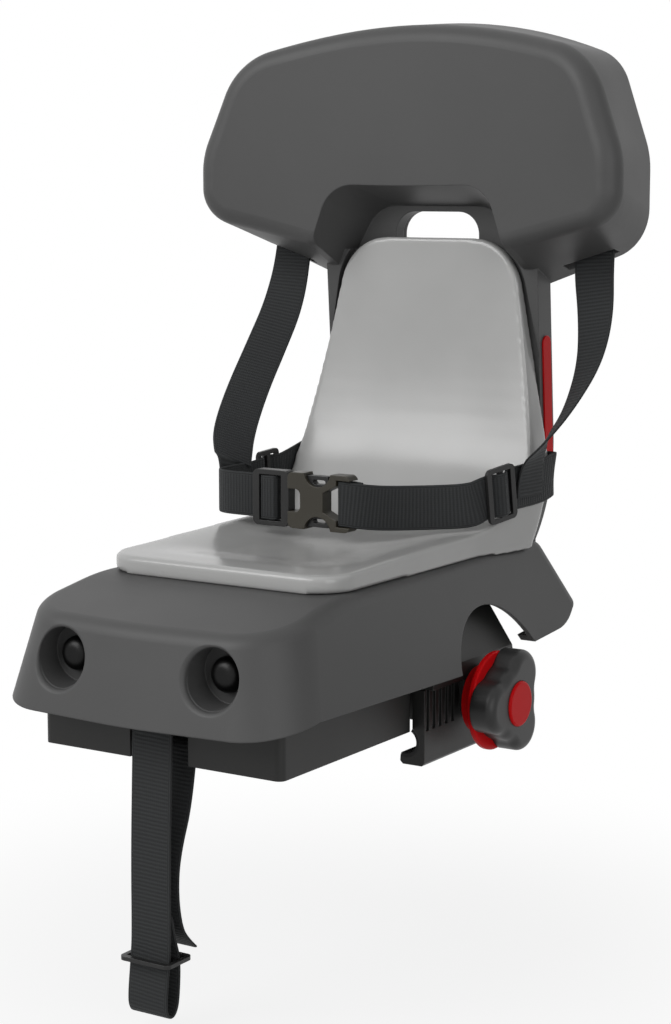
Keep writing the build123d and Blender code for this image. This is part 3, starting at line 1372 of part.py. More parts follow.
def front_bar_ends():
    half = BAR_L / 2
    y = FRONT_STRAP_Y - loop_offset(BAR_D)
    return [(-half, y, FRONT_STRAP_TOP_Z), (half, y, FRONT_STRAP_TOP_Z)]


def make_front_strap_bar(clearance):
    return rod(*front_bar_ends(), BAR_D + 2 * clearance)


def make_front_strap_slider():
    plane = Plane(origin=FRONT_SLIDER_AT, x_dir=(0, 1, 0), z_dir=(0, 0, 1))
    return slider_frame(plane)


def make_front_strap():
    # Down through the slider, round and back up, sewn to itself above
    x, y, z = FRONT_SLIDER_AT
    pitch = (SLIDER_H - SLIDER_BAR_W) / 4
    front_y = y - pitch
    rear_y = y + pitch
    along = (1, 0, 0)
    return webbing(
        [
            ((0, FRONT_STRAP_Y, FRONT_STRAP_TOP_Z), along),
            ((-1.5, FRONT_STRAP_Y, 0), along),
            ((-3.5, FRONT_STRAP_Y, z / 2), along),
            ((x + 1, front_y, z + 14), along),
            ((x, front_y, z), along),
            ((x - 2, front_y - 1, FRONT_LOOP_Z + 10), along),
            ((x - 2.5, front_y + 1.5, FRONT_LOOP_Z + 2), along),
            ((x - 2.5, y, FRONT_LOOP_Z), along),
            ((x - 2.5, rear_y - 1.5, FRONT_LOOP_Z + 2), along),
            ((x - 2, rear_y + 1, FRONT_LOOP_Z + 10), along),
            ((x, rear_y, z), along),
            ((x + 0.6, (front_y + rear_y) / 2, z + 14), along),
            ((x + 1, FRONT_STRAP_Y + WEB_T + GAP, z + 32), along),
            ((x + 1.2, FRONT_STRAP_Y + WEB_T + GAP, z + 45), along),
        ]
    ) + bar_loop((0, front_bar_ends()[0][1], FRONT_STRAP_TOP_Z), along, BAR_D)


def make_front_strap_tail():
    # From the bar over the tray's notch, down behind the front strap to a loose end
    x, y, z = FRONT_SLIDER_AT
    rear_y = y + (SLIDER_H - SLIDER_BAR_W) / 4
    along = (1, 0, 0)
    bar_d = TRAY_BAR_T * math.sqrt(2)
    return webbing(
        [
            ((0, TRAY_BAR_Y - loop_offset(bar_d), TRAY_BAR_Z), along),
            ((-0.5, TRAY_BAR_Y - loop_offset(bar_d) - 4, -25), along),
            ((-2.5, FRONT_STRAP_Y + 9, -58), along),
            ((-4, FRONT_STRAP_Y + 8.5, -82), along),
            ((-5, rear_y + 2, z + 20), along),
            ((-5, rear_y + 9, z + 10), along),
            ((-5, rear_y + 17, z + 3), along),
        ]
    ) + bar_loop((0, TRAY_BAR_Y, TRAY_BAR_Z), along, bar_d)


def make_pieces():
    shell_outer = shell_form(0.0, 0.0)
    jaw = make_jaw()
    jaw_pad = make_jaw_pad()
    jaw_nut = make_jaw_nut()
    return {
        "seat_shell": make_seat_shell(shell_outer),
        "seat_pad": make_seat_pad(shell_outer),
        "backrest_shell": make_backrest_shell(shell_outer),
        "rear_cover": make_rear_cover(),
        "rack_tray": make_rack_tray(),
        "side_badge": make_side_badge(),
        "clamp_housing": make_clamp_housing(),
        "clamp_jaw_right": jaw,
        "clamp_jaw_left": mirrored(jaw),
        "jaw_pad_right": jaw_pad,
        "jaw_pad_left": mirrored(jaw_pad),
        "jaw_nut_right": jaw_nut,
        "jaw_nut_left": mirrored(jaw_nut),
        "clamp_spindle": make_clamp_spindle(),
        "retaining_ring": make_retaining_ring(),
        "thrust_washer": make_thrust_washer(),
        "knob_collar": make_knob_collar(),
        "clamp_knob": make_clamp_knob(),
        "knob_cap": make_knob_cap(),
        "shoulder_strap_right": make_shoulder_strap_right(),
        "shoulder_strap_left": make_shoulder_strap_left(),
        "lap_strap_right": make_lap_strap_right(),
        "lap_strap_left": make_lap_strap_left(),
        "strap_slider_right": make_strap_slider_right(),
        "strap_slider_left": make_strap_slider_left(),
        "buckle_socket": make_buckle_socket(),
        "buckle_tongue": make_buckle_tongue(),
        "front_strap": make_front_strap(),
        "front_strap_tail": make_front_strap_tail(),
        "front_strap_slider": make_front_strap_slider(),
        "front_strap_bar": make_front_strap_bar(0.0),
        "shoulder_anchor_bars": Compound(children=make_shoulder_anchor_bars(0.0)),
        "lap_anchor_bars": Compound(children=make_lap_anchor_bars(0.0)),
        "front_bolts": Compound(children=make_front_bolts()),
        "front_nuts": Compound(children=make_front_nuts()),
        "tray_screws": Compound(children=make_tray_screws()),
        "housing_screws": Compound(children=make_housing_screws()),
        "backrest_bolts": Compound(children=make_backrest_bolts()),
        "backrest_nuts": Compound(children=make_backrest_nuts()),
        "rear_cover_screws": Compound(children=make_rear_cover_screws()),
    }


os.makedirs("parts", exist_ok=True)
for name, shape in make_pieces().items():
    export_step(shape, f"parts/{name}.step")
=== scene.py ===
import json
import math

import bmesh
import bpy
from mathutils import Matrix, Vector


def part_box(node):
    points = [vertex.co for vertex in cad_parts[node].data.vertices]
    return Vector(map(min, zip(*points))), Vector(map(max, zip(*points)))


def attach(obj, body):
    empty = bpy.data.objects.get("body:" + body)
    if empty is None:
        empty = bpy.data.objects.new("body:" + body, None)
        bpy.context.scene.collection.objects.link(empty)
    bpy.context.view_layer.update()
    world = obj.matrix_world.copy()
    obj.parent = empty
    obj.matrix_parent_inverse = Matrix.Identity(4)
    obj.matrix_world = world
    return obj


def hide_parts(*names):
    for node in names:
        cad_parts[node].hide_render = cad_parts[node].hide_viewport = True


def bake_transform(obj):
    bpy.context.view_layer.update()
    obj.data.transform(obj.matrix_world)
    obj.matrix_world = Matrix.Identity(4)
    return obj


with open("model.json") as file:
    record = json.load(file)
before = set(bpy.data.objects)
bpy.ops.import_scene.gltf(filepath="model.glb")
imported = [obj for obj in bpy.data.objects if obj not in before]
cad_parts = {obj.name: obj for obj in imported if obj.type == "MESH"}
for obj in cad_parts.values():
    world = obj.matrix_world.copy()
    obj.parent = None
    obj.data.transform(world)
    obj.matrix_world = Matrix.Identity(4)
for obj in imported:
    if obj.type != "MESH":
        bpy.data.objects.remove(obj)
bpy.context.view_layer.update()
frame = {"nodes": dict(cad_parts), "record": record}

nodes = frame["nodes"]
MM = 0.001

# Sizes of the webbing, in millimetres.
WEB_W = 30.0
WEB_T = 1.6
# Sizes of the pad, in millimetres.
PAD_VOXEL = 1.5
SEAT_HOLLOW = 5.0
BACK_HOLLOW = 2.0
# Passes that even out the pad's block and then round its edges.
EVEN_PASSES = 10
ROUND_PASSES = 16
# Where the hollows fade out: share of the pad's half width, then distances in metres.
HOLLOW_EDGE = 0.86
HOLLOW_FADE = 0.5
SEAT_FRONT_Y = (0.002, 0.05)
SEAT_REAR_Y = (0.12, 0.21)
BACK_LOW_Z = (0.13, 0.19)
BACK_HIGH_Z = (0.2, 0.31)
# How far a face must turn towards the sitter to be hollowed.
FACING = (0.3, 0.95)


def linear(hex_colour):
    """An sRGB hex colour as linear RGBA."""
    rgb = []
    for i in (1, 3, 5):
        v = int(hex_colour[i:i + 2], 16) / 255
        rgb.append(v / 12.92 if v <= 0.04045 else ((v + 0.055) / 1.055) ** 2.4)
    return (*rgb, 1.0)


def per_metre(size_mm):
    """Texture scale that gives features of this size."""
    return 1000.0 / size_mm


def add(tree, kind, inputs=(), **settings):
    """Adds a node: settings are its properties, inputs its sockets.

    Each input takes a value, or the output that feeds it.
    """
    node = tree.nodes.new(kind)
    for name, value in settings.items():
        setattr(node, name, value)
    for socket, value in dict(inputs).items():
        if isinstance(value, bpy.types.NodeSocket):
            tree.links.new(value, node.inputs[socket])
        else:
            node.inputs[socket].default_value = value
    return node


def new_material(name):
    material = bpy.data.materials.new(name)
    material.use_nodes = True
    material.node_tree.nodes.clear()
    return material, material.node_tree


def moulded(name, colour, edge_highlight_colour, roughness, grain_mm, grain_depth_mm, edge_mm, ior=1.49, patch=0.06,
            specular=0.35):
    """A moulded plastic: fine grain, slow drift of tone, soft edges with a paler painted highlight."""
    material, tree = new_material(name)
    place = add(tree, "ShaderNodeTexCoord").outputs["Object"]
    drift = add(tree, "ShaderNodeTexNoise", {"Vector": place, "Scale": per_metre(70), "Detail": 3.0})
    tone = add(tree, "ShaderNodeMapRange", {"Value": drift.outputs["Fac"], "From Min": 0.3, "From Max": 0.7,
                                            "To Min": 1.0 - patch, "To Max": 1.0 + patch})
    base = add(tree, "ShaderNodeMix", {"Factor": 1.0, "A": linear(colour), "B": tone.outputs["Result"]},
               data_type="RGBA", blend_type="MULTIPLY")
    soft = add(tree, "ShaderNodeBevel", {"Radius": edge_mm * MM}, samples=6)
    true = add(tree, "ShaderNodeNewGeometry").outputs["Normal"]
    turn = add(tree, "ShaderNodeVectorMath", {0: soft.outputs["Normal"], 1: true}, operation="DOT_PRODUCT")
    # Painted highlight: the colour turns paler where the rounded edge's normal leaves the true face's
    # normal.
    edge_highlight = add(tree, "ShaderNodeMapRange", {"Value": turn.outputs["Value"], "From Min": 0.995,
                                              "From Max": 0.85, "To Min": 0.0, "To Max": 0.6})
    highlit = add(tree, "ShaderNodeMix", {"Factor": edge_highlight.outputs["Result"], "A": base.outputs["Result"],
                                       "B": linear(edge_highlight_colour)}, data_type="RGBA")
    grain = add(tree, "ShaderNodeTexNoise", {"Vector": place, "Scale": per_metre(grain_mm), "Detail": 2.0})
    bump = add(tree, "ShaderNodeBump", {"Strength": 0.6, "Distance": grain_depth_mm * MM,
                                        "Height": grain.outputs["Fac"], "Normal": soft.outputs["Normal"]})
    dull = add(tree, "ShaderNodeMapRange", {"Value": drift.outputs["Fac"], "From Min": 0.3, "From Max": 0.7,
                                            "To Min": roughness - 0.04, "To Max": roughness + 0.04})
    shader = add(tree, "ShaderNodeBsdfPrincipled", {"Base Color": highlit.outputs["Result"], "IOR": ior,
                                                    "Specular IOR Level": specular,
                                                    "Roughness": dull.outputs["Result"],
                                                    "Normal": bump.outputs["Normal"]})
    add(tree, "ShaderNodeOutputMaterial", {"Surface": shader.outputs["BSDF"]})
    return material


def plated(name, colour, roughness, streak_mm):
    """A metal part: thin streaks left by turning or drawing, and a roughness that follows them."""
    material, tree = new_material(name)
    place = add(tree, "ShaderNodeTexCoord").outputs["Object"]
    streak = add(tree, "ShaderNodeTexNoise", {"Vector": place, "Scale": per_metre(streak_mm),
                                              "Detail": 3.0})
    tone = add(tree, "ShaderNodeMapRange", {"Value": streak.outputs["Fac"], "To Min": 0.9, "To Max": 1.08})
    base = add(tree, "ShaderNodeMix", {"Factor": 1.0, "A": linear(colour), "B": tone.outputs["Result"]},
               data_type="RGBA", blend_type="MULTIPLY")
    dull = add(tree, "ShaderNodeMapRange", {"Value": streak.outputs["Fac"], "To Min": roughness - 0.08,
                                            "To Max": roughness + 0.1})
    soft = add(tree, "ShaderNodeBevel", {"Radius": 0.4 * MM}, samples=4)
    shader = add(tree, "ShaderNodeBsdfPrincipled", {"Base Color": base.outputs["Result"], "Metallic": 1.0,
                                                    "Roughness": dull.outputs["Result"],
                                                    "Normal": soft.outputs["Normal"]})
    add(tree, "ShaderNodeOutputMaterial", {"Surface": shader.outputs["BSDF"]})
    return material


def woven_webbing():
    """Polyester webbing: ribs across it, yarns along it, a firm selvedge at each edge and a low sheen."""
    material, tree = new_material("polyester_webbing")
    rib_mm = 2.5  # drawn a little coarser than the real 1.8 mm so that it shows
    yarn_mm = 1.5
    selvedge_mm = (12.6, 13.4)  # from the middle, where the ribs give way to the edge's yarns
    wave_turn = 2 * math.pi / 20  # length of one wave at a scale of 1
    run = add(tree, "ShaderNodeUVMap", uv_map="webbing").outputs["UV"]
    axes = add(tree, "ShaderNodeSeparateXYZ", {"Vector": run})
    rib = add(tree, "ShaderNodeTexWave", {"Vector": run, "Scale": wave_turn / (rib_mm * MM),
                                          "Distortion": 0.4, "Detail": 1.0}, bands_direction="X")
    yarn = add(tree, "ShaderNodeTexWave", {"Vector": run, "Scale": wave_turn / (yarn_mm * MM),
                                           "Distortion": 0.3, "Detail": 1.0}, bands_direction="Y")
    fuzz = add(tree, "ShaderNodeTexNoise", {"Vector": run, "Scale": per_metre(0.9), "Detail": 2.0})
    off_middle = add(tree, "ShaderNodeMath", {0: axes.outputs["Y"]}, operation="ABSOLUTE")
    selvedge = add(tree, "ShaderNodeMapRange", {"Value": off_middle.outputs["Value"],
                                                "From Min": selvedge_mm[0] * MM,
                                                "From Max": selvedge_mm[1] * MM})
    ridge = add(tree, "ShaderNodeMix", {"Factor": selvedge.outputs["Result"], "A": rib.outputs["Fac"],
                                        "B": yarn.outputs["Fac"]}, data_type="FLOAT")
    cloth = add(tree, "ShaderNodeMath", {0: yarn.outputs["Fac"], 1: 0.25, 2: ridge.outputs["Result"]},
                operation="MULTIPLY_ADD")
    height = add(tree, "ShaderNodeMath", {0: fuzz.outputs["Fac"], 1: 0.5, 2: cloth.outputs["Value"]},
                 operation="MULTIPLY_ADD")
    # Painted shade: the grooves between ribs and yarns are darker, with random tone from the fuzz on top.
    groove_shade = add(tree, "ShaderNodeMapRange", {"Value": height.outputs["Value"], "From Min": 0.2,
                                             "From Max": 1.5})
    colour = add(tree, "ShaderNodeMix", {"Factor": groove_shade.outputs["Result"], "A": linear("#101112"),
                                         "B": linear("#2c2e2f")}, data_type="RGBA")
    bump = add(tree, "ShaderNodeBump", {"Strength": 0.8, "Distance": 0.25 * MM,
                                        "Height": height.outputs["Value"]})
    shader = add(tree, "ShaderNodeBsdfPrincipled", {"Base Color": colour.outputs["Result"],
                                                    "Roughness": 0.78, "IOR": 1.5,
                                                    "Specular IOR Level": 0.35, "Sheen Weight": 0.15,
                                                    "Sheen Roughness": 0.4,
                                                    "Sheen Tint": linear("#8d9092"),
                                                    "Normal": bump.outputs["Normal"]})
    add(tree, "ShaderNodeOutputMaterial", {"Surface": shader.outputs["BSDF"]})
    return material


def foam_skin():
    """Self-skinned polyurethane foam: a smooth half-gloss skin with faint pores and a little cloudiness."""
    material, tree = new_material("polyurethane_foam_skin")
    place = add(tree, "ShaderNodeTexCoord").outputs["Object"]
    cloud = add(tree, "ShaderNodeTexNoise", {"Vector": place, "Scale": per_metre(45), "Detail": 2.0})
    pores = add(tree, "ShaderNodeTexNoise", {"Vector": place, "Scale": per_metre(1.6), "Detail": 2.0})
    colour = add(tree, "ShaderNodeMix", {"Factor": cloud.outputs["Fac"], "A": linear("#a6a6a5"),
                                         "B": linear("#b0b0af")}, data_type="RGBA")
    dull = add(tree, "ShaderNodeMapRange", {"Value": cloud.outputs["Fac"], "To Min": 0.17, "To Max": 0.25})
    bump = add(tree, "ShaderNodeBump", {"Strength": 0.3, "Distance": 0.1 * MM,
                                        "Height": pores.outputs["Fac"]})
    shader = add(tree, "ShaderNodeBsdfPrincipled", {"Base Color": colour.outputs["Result"], "IOR": 1.5,
                                                    "Roughness": dull.outputs["Result"],
                                                    "Normal": bump.outputs["Normal"]})
    add(tree, "ShaderNodeOutputMaterial", {"Surface": shader.outputs["BSDF"]})
    return material


# Moulded polypropylene with a spark-eroded grain: a matte dark grey whose grain breaks up the light.
# The grain of this and the plastics below is drawn coarser than the real 0.4 mm so that it shows.
shell_grey = moulded("polypropylene_shell", "#474747", "#565656", roughness=0.5, grain_mm=1.3,
                     grain_depth_mm=0.06, edge_mm=1.2)
# The same plastic in near black, smoother, on the tray, clamp and rear cover.
tray_black = moulded("polypropylene_black", "#131312", "#212120", roughness=0.46, grain_mm=1.1,
                     grain_depth_mm=0.05, edge_mm=0.8)
# Red acrylonitrile plastic on the collar, cap and badge: a strong, clear red with a soft shine.
red_abs = moulded("abs_red", "#cf0f14", "#d62c2c", roughness=0.34, grain_mm=3.0,
                  grain_depth_mm=0.02, edge_mm=0.6, ior=1.54, patch=0.04, specular=0.06)
# Acetal buckle housing, an olive black with a waxy satin surface.
buckle_olive = moulded("acetal_olive", "#35322a", "#4a463c", roughness=0.36, grain_mm=1.2,
                       grain_depth_mm=0.03, edge_mm=0.7, ior=1.48)
# Black acetal on the tongue and the webbing sliders.
buckle_black = moulded("acetal_black", "#1f1f1f", "#333333", roughness=0.38, grain_mm=1.2,
                       grain_depth_mm=0.03, edge_mm=0.6, ior=1.48)
# Nylon knob with a fine satin surface.
knob_black = moulded("nylon_knob", "#151515", "#272726", roughness=0.42, grain_mm=1.0,
                     grain_depth_mm=0.04, edge_mm=1.0, ior=1.53)
# Moulded rubber jaw pads, fully matte.
pad_rubber = moulded("rubber_black", "#191919", "#242424", roughness=0.85, grain_mm=0.9,
                     grain_depth_mm=0.06, edge_mm=0.5, ior=1.52)
# Zinc-plated steel: pale, slightly clouded metal on the hidden fittings.
zinc_steel = plated("steel_zinc", "#a8a8a6", roughness=0.36, streak_mm=2.0)
# Black-oxide steel on the bolt heads: dark metal with a soft highlight.
black_steel = plated("steel_black_oxide", "#262626", roughness=0.36, streak_mm=2.0)
webbing = woven_webbing()
skin = foam_skin()

finishes = {
    "shell_grey": shell_grey, "black_plastic": tray_black, "red_plastic": red_abs,
    "knob_plastic": knob_black, "rubber_black": pad_rubber, "steel": zinc_steel,
    "dark_steel": black_steel, "buckle_plastic": buckle_black, "webbing_black": webbing,
    "pad_grey": skin,
}
for subpart in frame["record"]["subparts"]:
    node = nodes[subpart["node"]]
    for face_slot in node.material_slots:
        face_slot.link = "OBJECT"
        face_slot.material = finishes[subpart["material_slot"]]
for face_slot in nodes["buckle_socket"].material_slots:
    face_slot.material = buckle_olive


def nurbs_points(points):
    """Points along the smooth line that has these as its control points."""
    curve = bpy.data.curves.new("line", "CURVE")
    curve.dimensions = "3D"
    curve.resolution_u = 10
    spline = curve.splines.new("NURBS")
    spline.points.add(len(points) - 1)
    for place, point in zip(spline.points, points):
        place.co = (*point, 1.0)
    spline.order_u = 3
    spline.use_endpoint_u = True
    carrier = bpy.data.objects.new("line", curve)
    bpy.context.scene.collection.objects.link(carrier)
    bpy.context.view_layer.update()
    line = bpy.data.meshes.new_from_object(carrier)
    found = [v.co.copy() for v in line.vertices]
    bpy.data.objects.remove(carrier)
    bpy.data.curves.remove(curve)
    bpy.data.meshes.remove(line)
    return found


# Half of the webbing's section: share of the width, share of the thickness.
HALF_SECTION = [(-0.5, 0.2), (-0.485, 0.42), (-0.45, 0.5), (-0.2, 0.5), (0.0, 0.5), (0.2, 0.5),
                (0.45, 0.5), (0.485, 0.42), (0.5, 0.2)]
SECTION = HALF_SECTION + [(-a, -b) for a, b in HALF_SECTION]


def lay_webbing(name, stations):
    """A length of webbing through stations, each a centre in mm and the direction of the width there."""
    middle = nurbs_points([Vector(place) * MM for place, across in stations])
    edge = nurbs_points([(Vector(place) + Vector(across).normalized() * WEB_W / 2) * MM
                         for place, across in stations])
    mesh = bmesh.new()
    rings = []
    run = 0.0
    runs = []
    for i, centre in enumerate(middle):
        if i:
            run += (centre - middle[i - 1]).length
        runs.append(run)
        ahead = (middle[min(i + 1, len(middle) - 1)] - middle[max(i - 1, 0)]).normalized()
        across = edge[i] - centre
        across = (across - ahead * across.dot(ahead)).normalized()
        out = across.cross(ahead)
        rings.append([mesh.verts.new(centre + across * (a * WEB_W * MM) + out * (b * WEB_T * MM))
                      for a, b in SECTION])
    uv = mesh.loops.layers.uv.new("webbing")
    count = len(SECTION)
    for i in range(len(rings) - 1):
        for j in range(count):
            k = (j + 1) % count
            face = mesh.faces.new([rings[i][j], rings[i][k], rings[i + 1][k], rings[i + 1][j]])
            face.smooth = True
            for loop, (r, c) in zip(face.loops, [(i, j), (i, k), (i + 1, k), (i + 1, j)]):
                loop[uv].uv = (runs[r], SECTION[c][0] * WEB_W * MM)
    for ring, r in ((rings[0], 0), (rings[-1], -1)):
        face = mesh.faces.new(ring if r else ring[::-1])
        for loop in face.loops:
            loop[uv].uv = (runs[r], 0.0)
    bmesh.ops.recalc_face_normals(mesh, faces=mesh.faces[:])
    data = bpy.data.meshes.new(name)
    mesh.to_mesh(data)
    mesh.free()
    data.materials.append(webbing)
    strap = bpy.data.objects.new(name, data)
    bpy.context.scene.collection.objects.link(strap)
    return strap, middle, run


UPRIGHT = (0, 0, 1)
LEVEL = (1, 0, 0)
BELT_RIGHT = (0, -0.17, 0.99)
BELT_LEFT = (0, -0.06, 1)
BEHIND = (0, 0.18, 1)
# The straps' routes, in mm, as the part's source has them: the webbing's centre and its width's direction.
ROUTES = {
    "shoulder_strap_right": [
        ((123, 259.9, 316), LEVEL), ((123, 256.8, 292.4), LEVEL),
        ((128, 252, 257), (0.95, -0.2, 0.1)), ((130, 240, 226), (0.85, -0.5, 0.1)),
        ((124, 222, 196), (0.62, -0.77, 0.12)), ((112, 211, 175), (0.5, -0.86, 0.1)),
        ((99.8, 212.2, 158.9), (-0.11, -0.99, -0.03)),
        ((99.8, 212.2, 136.4), (-0.11, -0.99, -0.03))],
    "shoulder_strap_left": [
        ((-123, 259.9, 316), LEVEL), ((-123, 256.8, 292.4), LEVEL),
        ((-124, 245, 258), (0.95, 0.3, 0)), ((-127, 226, 228), (0.88, 0.47, 0)),
        ((-124, 197, 198), (0.8, 0.6, 0)), ((-114, 166, 172), (0.55, 0.83, 0)),
        ((-103, 149, 157), (0.2, 0.98, 0)), ((-98.9, 144, 152), (0, 1, 0)),
        ((-98.9, 144, 129.5), (0, 1, 0))],
    "lap_strap_right": [
        ((62, 259.3, 148), UPRIGHT), ((71.7, 258.3, 148), BEHIND), ((80.3, 250.3, 148), BEHIND),
        ((95, 250.3, 148), BEHIND), ((98.8, 249, 148), BEHIND),
        ((99.8, 244.3, 147.5), (0, 0.09, 1)), ((99.2, 230.3, 144.5), (0, 0.1, 1)),
        ((95.5, 196, 143.4), BELT_RIGHT), ((94, 190.5, 142.4), BELT_RIGHT),
        ((97.6, 184, 141.3), BELT_RIGHT), ((96.1, 178.6, 140.4), BELT_RIGHT),
        ((89.5, 174.9, 139.8), BELT_RIGHT), ((88, 169.4, 138.9), BELT_RIGHT),
        ((83, 160.5, 134.8), UPRIGHT), ((64, 149, 133.6), UPRIGHT), ((47, 134, 133.6), UPRIGHT),
        ((36, 120, 134.4), UPRIGHT), ((27, 110, 136), UPRIGHT), ((16.5, 107.1, 137), UPRIGHT),
        ((12, 107.3, 137), UPRIGHT), ((12, 114.7, 137), UPRIGHT), ((17, 115, 137), UPRIGHT),
        ((26, 114.6, 136.4), UPRIGHT)],
    "lap_strap_left": [
        ((-62, 259.3, 148), UPRIGHT), ((-71.7, 258.3, 148), BEHIND), ((-80.3, 250.3, 148), BEHIND),
        ((-95, 250.3, 148), BEHIND), ((-98.8, 249, 148), BEHIND),
        ((-99.8, 244.3, 147.5), (0, 0.09, 1)), ((-99.2, 230.3, 144.5), (0, 0.1, 1)),
        ((-95.3, 200, 139.8), BELT_LEFT), ((-95.3, 194.2, 139.5), BELT_LEFT),
        ((-100.7, 188.8, 139.2), BELT_LEFT), ((-100.7, 183.2, 138.8), BELT_LEFT),
        ((-95.3, 177.8, 138.5), BELT_LEFT), ((-95.3, 172, 138.2), BELT_LEFT),
        ((-97, 162, 137), UPRIGHT), ((-97, 126, 137), UPRIGHT), ((-93, 119.5, 137), UPRIGHT),
        ((-83, 114.5, 137), UPRIGHT), ((-57.6, 114.5, 137), UPRIGHT),
        ((-42.5, 114.9, 137), UPRIGHT), ((-38, 114.7, 137), UPRIGHT), ((-38, 107.3, 137), UPRIGHT),
        ((-43, 107, 137), UPRIGHT), ((-50, 108.5, 137), UPRIGHT)],
    "front_strap": [
        ((0, -80, 44), LEVEL), ((-1.5, -80, 0), LEVEL), ((-3.5, -80, -62.5), LEVEL),
        ((-4, -79.5, -111), LEVEL), ((-5, -79.5, -125), LEVEL), ((-7, -80.5, -152), LEVEL),
        ((-7.5, -78, -160), LEVEL), ((-7.5, -74, -162), LEVEL), ((-7.5, -70, -160), LEVEL),
        ((-7, -67.5, -152), LEVEL), ((-5, -68.5, -125), LEVEL), ((-4.4, -74, -111), LEVEL),
        ((-4, -78, -95), LEVEL)],
    "front_strap_tail": [
        ((0, -55.8, 11), LEVEL), ((-0.5, -59.8, -25), LEVEL), ((-2.5, -71, -58), LEVEL),
        ((-4, -71.5, -82), LEVEL), ((-5, -66.5, -105), LEVEL), ((-5, -59.5, -115), LEVEL),
        ((-5, -51.5, -122), LEVEL)],
}

for name, stations in ROUTES.items():
    strap, line, length = lay_webbing(name + "_webbing", stations)
    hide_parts(name)
    if name == "lap_strap_left":
        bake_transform(strap)
    else:
        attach(strap, "seat")


def ramp(value, low, high):
    """0 below low, 1 above high and smooth between them."""
    t = max(0.0, min(1.0, (value - low) / (high - low)))
    return t * t * (3 - 2 * t)


def foam_pad():
    """The pad: the moulded block with its edges rounded over and its seat and back hollowed a little."""
    pad = bpy.data.objects.new("foam_pad", nodes["seat_pad"].data.copy())
    bpy.context.scene.collection.objects.link(pad)
    pad.data.materials.clear()
    remesh = pad.modifiers.new("even", "REMESH")
    remesh.mode = "VOXEL"
    remesh.voxel_size = PAD_VOXEL * MM
    for turn, passes in (("even_out", EVEN_PASSES), ("round", ROUND_PASSES)):
        rounding = pad.modifiers.new(turn, "SMOOTH")
        rounding.factor = 0.5
        rounding.iterations = passes
        if turn == "even_out":
            flat = pad.modifiers.new("back_to_block", "SHRINKWRAP")
            flat.target = nodes["seat_pad"]
    bpy.context.view_layer.update()
    shape = bpy.data.meshes.new_from_object(pad.evaluated_get(bpy.context.evaluated_depsgraph_get()))
    pad.modifiers.clear()
    pad.data = shape
    low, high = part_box("seat_pad")
    half = (high[0] - low[0]) / 2
    normals = [v.normal.copy() for v in shape.vertices]
    for v, normal in zip(shape.vertices, normals):
        dish = ramp(HOLLOW_EDGE - abs(v.co.x) / half, 0.0, HOLLOW_FADE)
        seat = ramp(normal.z, *FACING) * ramp(v.co.y, *SEAT_FRONT_Y)
        seat *= ramp(-v.co.y, -SEAT_REAR_Y[1], -SEAT_REAR_Y[0])
        back = ramp(-normal.y, *FACING) * ramp(v.co.z, *BACK_LOW_Z)
        back *= ramp(-v.co.z, -BACK_HIGH_Z[1], -BACK_HIGH_Z[0])
        v.co.z -= SEAT_HOLLOW * MM * dish * seat
        v.co.y += BACK_HOLLOW * MM * dish * back
    for face in shape.polygons:
        face.use_smooth = True
    pad.data.materials.append(skin)
    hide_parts("seat_pad")
    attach(pad, "seat")


foam_pad()

def seen_by_eye(tree):
    """1 for what is seen directly, mirrored or through something clear, 0 for light shed on the seat."""
    rays = add(tree, "ShaderNodeLightPath").outputs
    seen = add(tree, "ShaderNodeMath", {0: rays["Is Camera Ray"], 1: rays["Is Glossy Ray"]},
               operation="MAXIMUM")
    seen = add(tree, "ShaderNodeMath", {0: seen.outputs["Value"], 1: rays["Is Transmission Ray"]},
               operation="MAXIMUM")
    return seen.outputs["Value"]


# Studio: a pale floor that fades to the white background, and large soft lamps.
FLOOR_Z = -0.172
FLOOR_R = 4.0
WHITE_FROM = 0.1
WHITE_TO = 0.5
WHITE_NEAR = 0.86
ROOM_LIGHT = 0.2
floor_mesh = bmesh.new()
bmesh.ops.create_circle(floor_mesh, cap_ends=True, segments=96, radius=FLOOR_R)
floor_data = bpy.data.meshes.new("studio_floor")
floor_mesh.to_mesh(floor_data)
floor_mesh.free()
floor = bpy.data.objects.new("studio_floor", floor_data)
floor.location = (0, 0.1, FLOOR_Z)
bpy.context.scene.collection.objects.link(floor)

# Matte studio paper: pale, with the object's shadow, whiter away from it.
paper, tree = new_material("studio_paper")
place = add(tree, "ShaderNodeTexCoord").outputs["Object"]
reach = add(tree, "ShaderNodeVectorMath", {0: place}, operation="LENGTH")
away = add(tree, "ShaderNodeMapRange", {"Value": reach.outputs["Value"], "From Min": WHITE_FROM,
                                        "From Max": WHITE_TO, "To Min": WHITE_NEAR},
           interpolation_type="SMOOTHSTEP")
seen = seen_by_eye(tree)
share = add(tree, "ShaderNodeMath", {0: seen, 1: away.outputs["Result"]}, operation="MULTIPLY")
matte = add(tree, "ShaderNodeBsdfDiffuse", {"Color": linear("#c4c4c4")})
white = add(tree, "ShaderNodeEmission", {"Color": (1, 1, 1, 1), "Strength": 1.0})
mixed = add(tree, "ShaderNodeMixShader", {"Fac": share.outputs["Value"], 1: matte.outputs["BSDF"],
                                          2: white.outputs["Emission"]})
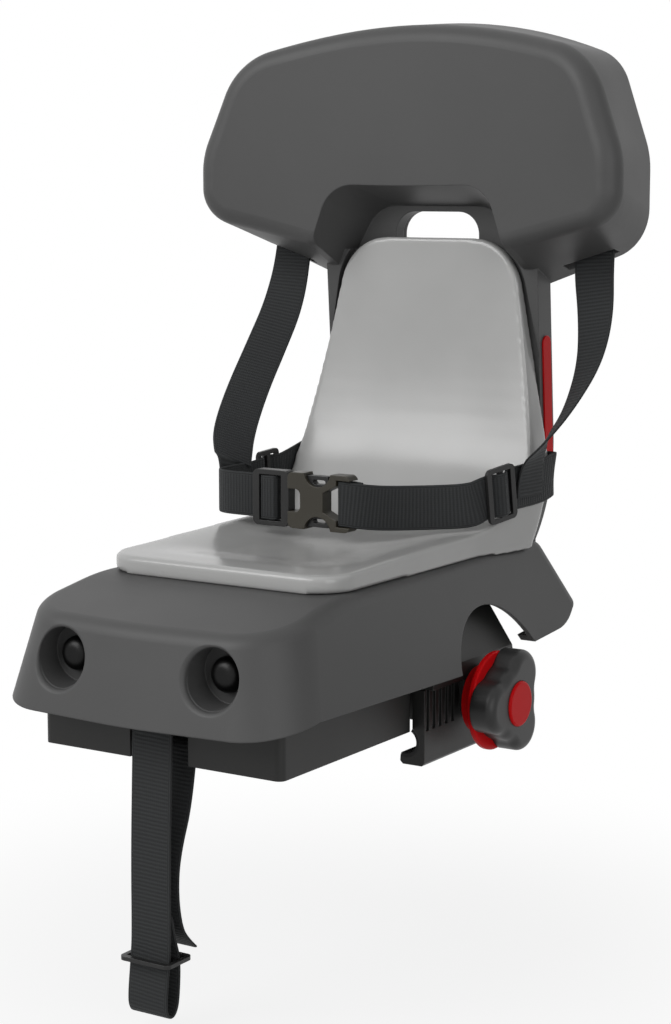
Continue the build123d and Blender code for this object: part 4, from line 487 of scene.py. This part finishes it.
add(tree, "ShaderNodeOutputMaterial", {"Surface": mixed.outputs["Shader"]})
floor_data.materials.append(paper)

world = bpy.data.worlds.new("studio")
world.use_nodes = True
bpy.context.scene.world = world
tree = world.node_tree
tree.nodes.clear()
seen = seen_by_eye(tree)
room = add(tree, "ShaderNodeBackground", {"Color": (1, 1, 1, 1), "Strength": ROOM_LIGHT})
backdrop = add(tree, "ShaderNodeBackground", {"Color": (1, 1, 1, 1), "Strength": 1.0})
mixed = add(tree, "ShaderNodeMixShader", {"Fac": seen, 1: room.outputs["Background"],
                                          2: backdrop.outputs["Background"]})
add(tree, "ShaderNodeOutputWorld", {"Surface": mixed.outputs["Shader"]})


def soft_lamp(name, place, aim, size, watts):
    """A square lamp of this size in metres, turned to its aim."""
    lamp = bpy.data.lights.new(name, "AREA")
    lamp.size = size
    lamp.energy = watts
    carrier = bpy.data.objects.new(name, lamp)
    carrier.location = place
    carrier.rotation_euler = (Vector(aim) - Vector(place)).to_track_quat("-Z", "Y").to_euler()
    bpy.context.scene.collection.objects.link(carrier)


soft_lamp("key_lamp", (-0.85, -1.75, 1.5), (0, 0.1, 0.25), 1.5, 37)
soft_lamp("fill_lamp", (1.9, -1.1, 0.7), (0, 0.1, 0.2), 1.4, 12.5)
# Only lifts the shadows between the pieces.
soft_lamp("top_lamp", (0.1, 0.2, 2.1), (0, 0.1, 0.15), 1.6, 2)

# The photograph's angle.
CAMERA_PLACE = (0.81766, -1.14585, 0.35264)
CAMERA_LOOK = (-0.5358, 0.8315, -0.1468)
CAMERA_LENS = 79.84
camera_data = bpy.data.cameras.new("camera")
camera_data.lens = CAMERA_LENS
camera_data.sensor_width = 36.0
camera = bpy.data.objects.new("camera", camera_data)
camera.location = CAMERA_PLACE
camera.rotation_euler = Vector(CAMERA_LOOK).to_track_quat("-Z", "Y").to_euler()
bpy.context.scene.collection.objects.link(camera)
bpy.context.scene.camera = camera
bpy.context.scene.view_settings.view_transform = "Standard"

bpy.context.view_layer.update()
